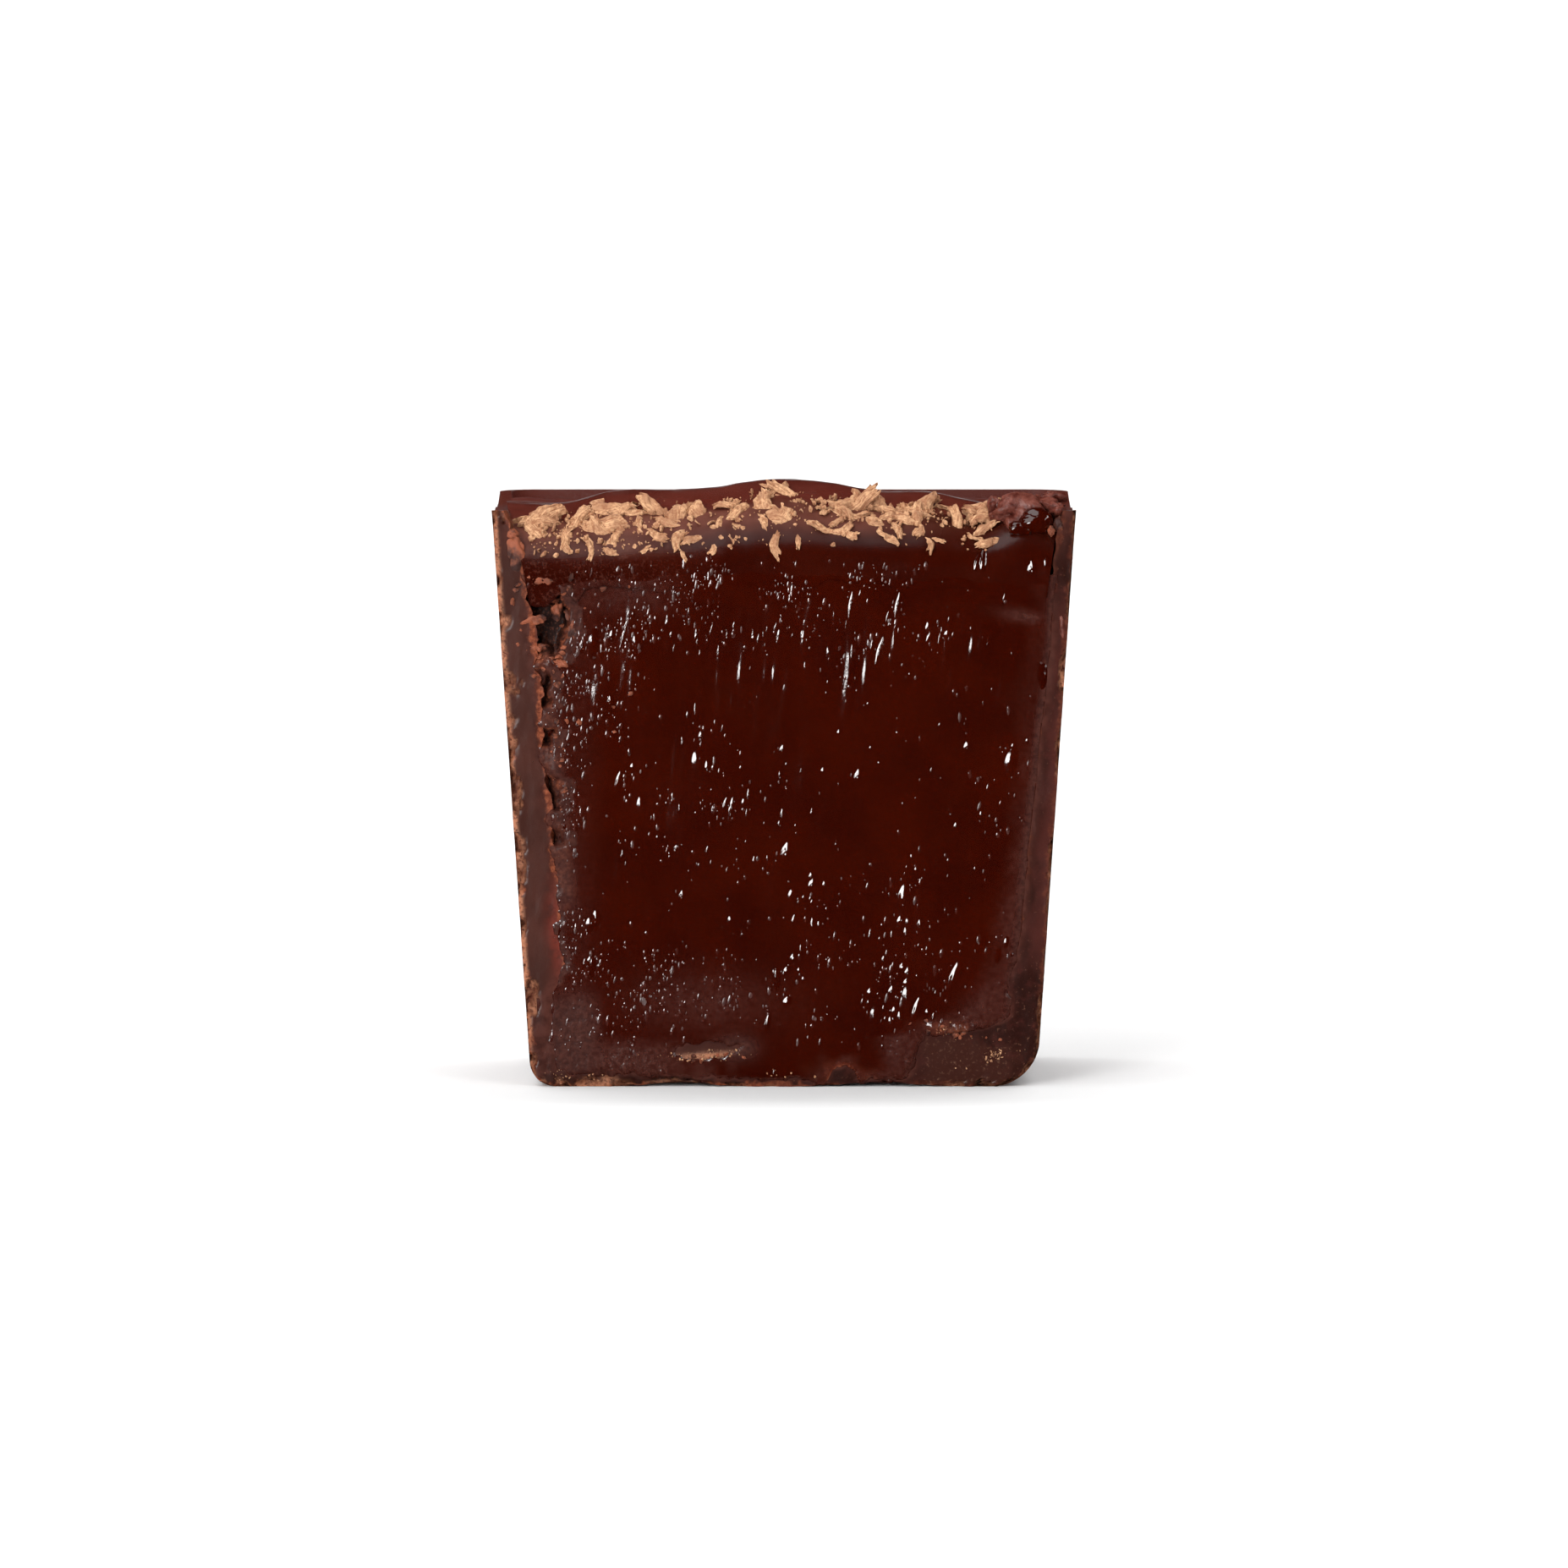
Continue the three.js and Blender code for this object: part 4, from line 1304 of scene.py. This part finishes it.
def strew(piece, shapes, material, per_mm2, sizes, turns, seed):
    """Strews shapes over a patch as its painted thickness says, many small and few large."""
    tree, entry = new_tree(f"strew {piece.name}", STREW_INPUTS)
    start = entry["Geometry"]
    random_seed = entry["Seed"]
    density = carried(start, "thickness", "FLOAT") * entry["Pieces per square millimetre"] * (1 / MM**2)
    spots = {"Mesh": start, "Density": density, "Seed": random_seed}
    points = start.node("GeometryNodeDistributePointsOnFaces", {"distribute_method": "RANDOM"}, spots)
    upright = Wire(tree, points.socket.node.outputs["Rotation"])
    drawn = start.node("FunctionNodeRandomValue", {"data_type": "FLOAT"}, {"Seed": random_seed}, 1)
    size = entry["Smallest"] + drawn * drawn * drawn * (entry["Largest"] - entry["Smallest"])
    span = {0: entry["Least turn"], 1: entry["Most turn"], "Seed": random_seed}
    turn = start.node("FunctionNodeRandomValue", {"data_type": "FLOAT_VECTOR"}, span, 0)
    kind = start.node("FunctionNodeRandomValue", {"data_type": "INT"}, {4: 0, 5: len(shapes.objects) - 1}, 2)
    turning = start.node("FunctionNodeEulerToRotation", {}, {0: turn})
    on_surface = {"Rotation": upright, "Rotate By": turning}
    rotation = start.node("FunctionNodeRotateRotation", {"rotation_space": "LOCAL"}, on_surface)
    close_tree(tree, put_on_points(points, members(start, entry["Shapes"]), kind, rotation, size), material)
    settings = {"Shapes": shapes, "Pieces per square millimetre": per_mm2, "Seed": seed}
    settings["Smallest"], settings["Largest"] = sizes
    settings["Least turn"], settings["Most turn"] = turns
    run_tree(piece, tree, settings)


# %% Strew crumbs and splinters
ANY_TURN = ((0.0, 0.0, 0.0), (6.28, 6.28, 6.28))


def patch(name, x, y, z, thickness):
    """An open grid of points in millimetres that shapes can be strewn over."""
    number = np.arange(x.size).reshape(x.shape)
    piece = mesh_object(name, np.stack([x, y, z], -1).reshape(-1, 3), grid_quads(number))
    paint(piece, "thickness", thickness)
    return piece


across, behind = np.meshgrid(np.linspace(-11.3, 9.4, 140), np.linspace(-0.1, 3.8, 40))
heaped = sum(share * bump(across, clump, 0.9) for clump, share in zip(CLUMPS, CLUMP_SIZES))
thickness = (0.25 + heaped) * fall(behind, 2.0, 3.2) * (0.3 + 0.7 * step(behind, 0.3, 1.0))
thickness *= 1 + 1.5 * fall(across, -6, -2) * fall(behind, 0.3, 1.0)
surface = cap_top(across, behind)
crumbs = patch("chocolate_crumbs", across, CUT + behind, surface + 0.06, thickness)
splinters = patch("chocolate_splinters", across, CUT + behind, surface + 0.15, thickness)
strew(crumbs, crumb_shapes, flake_material, per_mm2=11.0, sizes=(0.03, 0.19), turns=ANY_TURN, seed=4)
strew(splinters, splinter_shapes, flake_material, per_mm2=1.2, sizes=(0.2, 0.55), turns=ANY_TURN, seed=6)

# %% [markdown]
# ## Broken bits of the cup
#
# The torn edge of the left wall crumbles, and its orange-brown bits stick to the wet ganache round
# the crevice and along the tear at the lower right. They are the same crumbs in a darker chocolate,
# strewn over the front of the filling, on every second point of its grid, which is close enough.

# %% Strew the broken bits
bit_material, places, shader = new_material("broken cup chocolate")
fine = places.noise(6.0, 4.0, 0.6)
base = places.noise(1.5).between(0.35, 0.6).mix(colour(58, 24, 15), colour(146, 76, 47))
dress(shader, places, base, 0.5 + 0.3 * fine, fine, 0.05)

half_x, half_z, half_out = front_x[::2, ::2], front_z[::2, ::2], front_out[::2, ::2]
lying = np.where(covered(half_x, half_z) < 0.5, 0.0, half_out)
near_gap = bump(half_x + hollow_side("left", half_z), 0.5, 0.3 + 0.9 * step(half_z, 17.5, 20.5))
thickness = near_gap * step(half_z, 11, 15) * step(rough_noise(half_x * 1.3, half_z * 1.1, 331), -0.5, 0.3)
thickness += spot(half_x, half_z, -3.1, 1.3, 1.2, 0.15)
thickness += 5.0 * spot(half_x, half_z, 7.4, 2.5, 1.1, 0.1, -0.2)
thickness += 0.06 * bump(half_x, -8.6, 1.4) * step(half_z, 13, 17)
bits = patch("cup_bits", half_x, CUT - lying, half_z, thickness)
strew(bits, crumb_shapes, bit_material, per_mm2=16.0, sizes=(0.03, 0.2), turns=ANY_TURN, seed=8)

# %% [markdown]
# ## Pale grit
#
# Where the knife crushed the cup instead of cutting it, fine pale grit is left: along the foot, on the
# lower edge of the bare window, and on the scraped patch at the right. It is too fine to model one by
# one, so it is strewn very densely on small spots.

# %% Strew the grit
crushed = step(rough_noise(half_x * 1.5, half_z * 2.0, 341), -0.2, 0.4)
along_foot = fall(half_x, -8, -6.5) + bump(half_x, -1.0, 1.3)
thickness = 2.0 * spot(half_x, half_z, -3.3, 1.422, 1.3, 0.09, WINDOW_RISE)
thickness += 0.5 * crushed * bump(half_z, 0.45, 0.2) * along_foot
thickness += 0.5 * crushed * spot(half_x, half_z, 7.5, 2.5, 1.0, 0.2, -0.2)
thickness += 3.0 * crushed * spot(half_x, half_z, 9.5, 1.45, 0.8, 0.2, 0.28)
grit = patch("cup_grit", half_x, CUT - 0.02 - lying, half_z, thickness)
strew(grit, crumb_shapes, flake_material, per_mm2=90.0, sizes=(0.015, 0.07), turns=ANY_TURN, seed=9)

# %% [markdown]
# ## Wet drops
#
# What makes a cut ganache look wet is light: every small drop of it shows the lamp as one bright spot.
# The drops are low domes, strewn over the front of the filling by the same tree as the crumbs. The
# knife went down with a slight slant, and it drew the drops out along its way: short ones low down,
# long streaks near the top, and fine sparkling grains between them.

# %% Where the drops lie
# Patches: middle across and up, spread across and up, drops per square millimetre.
DROP_PATCHES = (
    (0.9, 8.5, 0.6, 0.7, 3.0),
    (5.0, 7.5, 2.2, 1.2, 1.5),
    (0.0, 5.2, 0.7, 1.3, 2.6),
    (5.0, 4.0, 2.6, 1.2, 1.2),
    (10.2, 15.8, 0.3, 2.2, 1.4),
    (9.7, 6.7, 0.3, 1.0, 1.8),
    (2.7, 16.5, 3.5, 1.2, 0.6),
    (-8.7, 5.9, 0.3, 1.3, 4.0),
    (-3.7, 12.4, 3.5, 3.5, 0.4),
    (-7.0, 20.4, 1.5, 1.2, 1.2),
    (6.0, 20.5, 2.5, 1.0, 1.0),
    (8.6, 23.6, 0.4, 0.3, 5.0),
    (11.2, 23.6, 0.3, 0.3, 4.0),
    (0.0, 12.0, 9.0, 9.0, 0.14),
)
SPARKLE_PATCHES = (
    (-1.5, 22.3, 4.5, 1.2, 5.5),
    (-4.5, 22.9, 3.5, 0.5, 5.0),
    (-8.2, 22.6, 1.6, 0.6, 5.0),
    (4.0, 22.9, 4.0, 0.5, 2.5),
    (-7.3, 20.8, 1.6, 1.6, 6.5),
    (-8.7, 17.0, 1.4, 3.0, 5.0),
    (-9.6, 13.0, 0.45, 3.5, 6.0),
    (-4.0, 14.0, 4.0, 5.0, 1.4),
    (4.0, 20.0, 4.0, 2.0, 2.4),
    (-5.0, 4.2, 4.0, 1.8, 4.5),
    (-8.0, 2.3, 2.0, 1.2, 3.0),
    (4.0, 6.0, 4.0, 3.0, 2.2),
    (8.5, 12.0, 2.5, 6.0, 1.0),
    (-9.0, 6.5, 0.6, 1.8, 14.0),
)
STREAK_PATCHES = (
    (0.5, 20.5, 6.5, 1.1, 2.0),
    (-2.0, 12.0, 5.0, 5.0, 0.12),
)


def drop_patch(name, patches):
    """The front of the filling and of the cap above it, painted with how many drops they bear."""
    above = 0.12 * np.arange(1, 9)[:, None]
    z = np.concatenate([half_z, half_z[-1] + above])
    x = np.concatenate([half_x, half_x[-1] + 0 * above])
    height = np.concatenate([half_out, -1 + 0 * x[-8:]])
    share = np.clip((z - cap_top(x, 0 * x - LIP_PROUD)) / LIP_ROUND, 0, 1)
    rolled = cap_front(x, z) - LIP_ROUND * (1 - np.sqrt(1 - share**2))
    height = np.where(z > fill_top(x), np.maximum(height, rolled), height)
    thickness = sum(amount * spot(x, z, *oval) for *oval, amount in patches)
    thickness = thickness * (height > -0.05) * step(rough_noise(x, z, 511), -0.6, 0.4)
    return patch(name, x, CUT - height, z, thickness)


print(f"{len(DROP_PATCHES + SPARKLE_PATCHES + STREAK_PATCHES)} patches with drops")

# %% Shapes of drops
# Shapes: how long a drop is for its width, and how high.
DROP_FORMS = ((1.3, 0.2), (1.9, 0.26), (2.6, 0.26), (3.4, 0.28), (2.2, 0.2))
STREAK_FORMS = ((3.6, 0.2), (5.0, 0.26), (6.5, 0.24))
SPARKLE_FORMS = ((1.2, 0.19), (1.8, 0.21), (2.4, 0.22), (3.2, 0.24))


def make_drop(name, stretch, rise, rings, spokes):
    """A low dome one unit wide to a side that runs out flat, stretched along Y and closed behind."""
    angle = np.arange(spokes) * 2 * np.pi / spokes
    out = np.linspace(0, 1, rings + 1)[1:, None]
    uneven = 1 + 0.25 * soft_noise(1.2 * np.cos(angle) + 9, 1.2 * np.sin(angle) + 9, 500 + int(10 * stretch))
    across = (out * uneven * np.cos(angle)).ravel()
    along = (out * uneven * np.sin(angle)).ravel() * stretch
    height = (rise * (1 - out**2) ** 1.25 + 0 * angle).ravel()
    height *= 1 + 0.4 * soft_noise(2.4 * across + 9, 2.4 * along + 9, 540 + int(10 * stretch))
    points = np.concatenate([np.stack([across, along, height], -1), [(0, 0, rise), (0, 0, -0.2)]])
    top, under = rings * spokes, rings * spokes + 1
    around = np.arange(spokes)
    onward = np.roll(around, -1)
    faces = [(top, a, b) for a, b in zip(around, onward)]
    for inner in range(0, (rings - 1) * spokes, spokes):
        outer = inner + spokes
        faces += [(inner + a, outer + a, outer + b, inner + b) for a, b in zip(around, onward)]
    last = (rings - 1) * spokes
    faces += [(under, last + b, last + a) for a, b in zip(around, onward)]
    drop = mesh_object(name, points, faces)
    shade(drop, 60)
    return drop


def make_drops(name, forms, rings, spokes):
    """A drop of each form."""
    return [make_drop(name, *form, rings, spokes) for form in forms]


drop_shapes = set_of_shapes("drops", make_drops("drop", DROP_FORMS, rings=6, spokes=14))
streak_shapes = set_of_shapes("streaks", make_drops("streak", STREAK_FORMS, rings=6, spokes=20))
sparkle_shapes = set_of_shapes("sparkles", make_drops("sparkle", SPARKLE_FORMS, rings=3, spokes=9))
print(f"{len(DROP_FORMS + STREAK_FORMS + SPARKLE_FORMS)} shapes of drops")

# %% Strew the drops
ALONG_KNIFE = ((0.0, 0.0, -0.3), (0.0, 0.0, 0.02))
grain_material, places, shader = new_material("ganache grains")
fine = places.noise(4.0, 2.0, 0.5)
smeared = places.noise(1.7, 1.0, 0.5).between(0.45, 0.62)
shader.inputs["IOR"].default_value = WET_IOR
grain_tone = fine.between(0.3, 0.7).mix(colour(52, 14, 8), colour(70, 30, 23))
dress(shader, places, grain_tone, 0.06 + 0.12 * fine + 0.22 * smeared, fine, 0.01)

drops = drop_patch("ganache_drops", DROP_PATCHES)
strew(drops, drop_shapes, filling_material, per_mm2=2.7, sizes=(0.05, 0.27), turns=ALONG_KNIFE, seed=2)
streaks = drop_patch("ganache_streaks", STREAK_PATCHES)
strew(streaks, streak_shapes, filling_material, per_mm2=2.2, sizes=(0.045, 0.12), turns=ALONG_KNIFE, seed=3)
sparkles = drop_patch("ganache_sparkles", SPARKLE_PATCHES)
strew(sparkles, sparkle_shapes, grain_material, per_mm2=3.5, sizes=(0.026, 0.085), turns=ALONG_KNIFE, seed=5)

# %% [markdown]
# ## Torn lumps
#
# At the right end the knife tore up lumps of cap and filling, at the left a splinter of the wall stands
# off, and shreds hang in the cavity. Each is a rounded blob with noise on it, and blobs of one kind are
# joined in one mesh. Sculpting would give finer folds, but at this size the noise does as well.

# %% Make the torn lumps
# Blobs: middle across, behind the cut and up, three radii, seed and unevenness.
TORN_CAP = (
    ((10.2, 1.2, 25.6), (1.2, 1.0, 0.7), 401, 0.45),
    ((9.5, 1.3, 25.7), (0.4, 0.5, 0.65), 402, 0.5),
    ((11.2, 1.7, 26.0), (0.8, 0.8, 0.45), 403, 0.45),
    ((11.9, 2.0, 26.2), (0.6, 0.5, 0.3), 421, 0.5),
    ((12.2, 0.8, 25.8), (0.45, 0.45, 0.35), 422, 0.5),
    ((12.35, 0.15, 20.7), (0.18, 0.2, 0.9), 413, 0.25),
)
TORN_FILLING = (
    ((11.2, 0.35, 25.3), (0.85, 0.6, 0.6), 411, 0.16),
    ((10.5, 0.25, 25.0), (0.5, 0.35, 0.35), 412, 0.16),
)
RIM_CRUMBS = (
    ((12.3, 0.2, 25.2), (0.25, 0.25, 0.3), 423, 0.4),
    ((11.9, -0.05, 24.9), (0.2, 0.15, 0.22), 424, 0.4),
    ((-11.9, 0.05, 24.0), (0.42, 0.16, 0.75), 425, 0.35),
    ((-12.1, 0.2, 24.7), (0.3, 0.25, 0.25), 426, 0.4),
    ((-11.2, 0.1, 20.9), (0.45, 0.15, 0.22), 427, 0.6),
    ((-10.95, 0.2, 19.7), (0.3, 0.2, 0.16), 428, 0.6),
    ((-10.1, 0.1, 21.3), (0.22, 0.2, 0.3), 429, 0.6),
    ((-9.95, 0.05, 19.0), (0.3, 0.2, 0.2), 430, 0.6),
    ((-9.4, -0.02, 20.4), (0.2, 0.15, 0.5), 431, 0.5),
    ((-10.7, -0.02, 22.7), (0.3, 0.15, 0.2), 432, 0.6),
)


def blob_object(name, blobs, material):
    """One mesh of several blobs."""
    points, faces = [], []
    for (x, behind, z), radii, seed, unevenness in blobs:
        new_points, new_faces = blob((x, CUT + behind, z), radii, seed, unevenness, detail=4)
        start = sum(len(group) for group in points)
        points.append(new_points)
        faces.extend([[index + start for index in face] for face in new_faces])
    piece = mesh_object(name, np.concatenate(points), faces)
    shade(piece, 60)
    give(piece, material)
    print(f"{name}: {len(blobs)} blobs")
    return piece


torn_material, places, shader = new_material("torn ganache")
fine = places.noise(2.5, 4.0, 0.6)
base = fine.between(0.35, 0.65).mix(colour(76, 28, 19), colour(118, 62, 50))
dress(shader, places, base, 0.25 + 0.25 * fine, fine, 0.12)
torn_cap = blob_object("torn_cap", TORN_CAP, torn_material)
torn_filling = blob_object("torn_filling", TORN_FILLING, filling_material)
rim_crumbs = blob_object("rim_crumbs", RIM_CRUMBS, bit_material)

# %% [markdown]
# ## The stage
#
# A pale floor sweeps up behind the bonbon, as in a photographer's studio, and soft light falls from
# above and from both sides. A low strip behind gives the cap's ridge its bright line. The broad lamps
# that brighten the floor and the backdrop are kept out of the gloss, where they would look like fog.

# %% Floor and light


def area_light(name, place, size, power, aim=(0, 0, 0.013)):
    """A rectangular lamp at a place, turned to what it lights."""
    lamp = bpy.data.lights.new(name, "AREA")
    lamp.shape = "RECTANGLE"
    lamp.size, lamp.size_y = size
    lamp.energy = power
    holder = bpy.data.objects.new(name, lamp)
    bpy.context.scene.collection.objects.link(holder)
    holder.location = place
    holder.rotation_euler = (holder.location - Vector(aim)).to_track_quat("Z", "Y").to_euler()
    return holder


def make_floor():
    """A floor that curves up into a backdrop behind the bonbon."""
    sweep = [(0.3 * math.sin(a), 0.3 * math.cos(a)) for a in np.linspace(0, math.pi / 2, 16)[1:]]
    profile = [(-3.0, 0.0), (0.3, 0.0), *((0.3 + out, 0.3 - up) for out, up in sweep), (0.6, 3.0)]
    points = [(side * 3.0 / MM, y / MM, z / MM) for y, z in profile for side in (-1, 1)]
    faces = [(2 * i, 2 * i + 1, 2 * i + 3, 2 * i + 2) for i in range(len(profile) - 1)]
    floor = mesh_object("pale_floor", points, faces)
    floor.data.shade_smooth()
    material, _, surface = new_material("pale floor")
    surface.inputs["Base Color"].default_value = (0.9, 0.9, 0.9, 1)
    surface.inputs["Roughness"].default_value = 0.9
    surface.inputs["Specular IOR Level"].default_value = 0.0
    give(floor, material)
    floor.visible_glossy = False
    return floor


floor = make_floor()
area_light("left box", (-0.188, -0.354, 0.098), (0.15, 0.2), 1.2)
area_light("right strip", (0.3, -0.28, 0.18), (0.07, 0.3), 0.4)
area_light("top light", (-0.21, -0.15, 0.38), (0.44, 0.3), 0.62)
backdrop = area_light("backdrop light", (0, 0.2, 0.75), (1.6, 0.2), 6.0, aim=(0, 0.6, 0.2))
backdrop.visible_glossy = False
horizon = area_light("horizon strip", (0, 0.5, 0.06), (1.2, 0.08), 0.2, aim=(0, 0, 0.027))
horizon.visible_camera = False
ceiling = area_light("ceiling", (0, -0.2, 1.6), (3.0, 3.0), 22.0, aim=(0, -0.2, 0))
ceiling.visible_glossy = False

world = bpy.data.worlds.new("studio")
bpy.context.scene.world = world
world.use_nodes = True
world.node_tree.nodes["Background"].inputs["Color"].default_value = (1, 1, 1, 1)
world.node_tree.nodes["Background"].inputs["Strength"].default_value = 0.005
print(f"{len(bpy.data.lights)} lamps")

# %% [markdown]
# ## The camera
#
# The photograph was taken from a little above, from far enough away that the sides of the cup hardly
# converge. So the camera stands back, and the lens follows from the width that it has to frame.

# %% Camera
CAMERA_DISTANCE = 380 * MM
CAMERA_RISE = math.radians(5.3)
FRAME_WIDTH = 69.9 * MM
SENSOR = 36
AIM = Vector((0.005 * MM, CUT * MM, 13.6 * MM))

lens = bpy.data.cameras.new("camera")
lens.sensor_width = SENSOR
lens.lens = SENSOR * CAMERA_DISTANCE / FRAME_WIDTH
camera = bpy.data.objects.new("camera", lens)
bpy.context.scene.collection.objects.link(camera)
camera.location = AIM + CAMERA_DISTANCE * Vector((0, -math.cos(CAMERA_RISE), math.sin(CAMERA_RISE)))
camera.rotation_euler = (math.pi / 2 - CAMERA_RISE, 0, 0)
bpy.context.scene.camera = camera
bpy.context.scene.view_settings.view_transform = "Standard"
print(f"lens {lens.lens:.0f} mm")

# %% [markdown]
# ## Handing over
#
# Each piece rides on the part's one body and stands for its solid, which is hidden.

# %% Ride and replace
for piece, node, slot in (
    (cup, "cup", "cup_chocolate"),
    (filling, "filling", "filling_ganache"),
    (drops, "filling", "filling_ganache"),
    (streaks, "filling", "filling_ganache"),
    (sparkles, "filling", "filling_ganache"),
    (cap, "topping", "cap_ganache"),
    (flakes, "topping", "flakes"),
    (crumbs, "topping", "flakes"),
    (splinters, "topping", "flakes"),
    (bits, "cup", "cup_chocolate"),
    (grit, "cup", "cup_chocolate"),
    (torn_cap, "topping", "cap_ganache"),
    (torn_filling, "topping", "filling_ganache"),
    (rim_crumbs, "topping", "cup_chocolate"),
):
    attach(piece, "root")
    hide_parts(node)
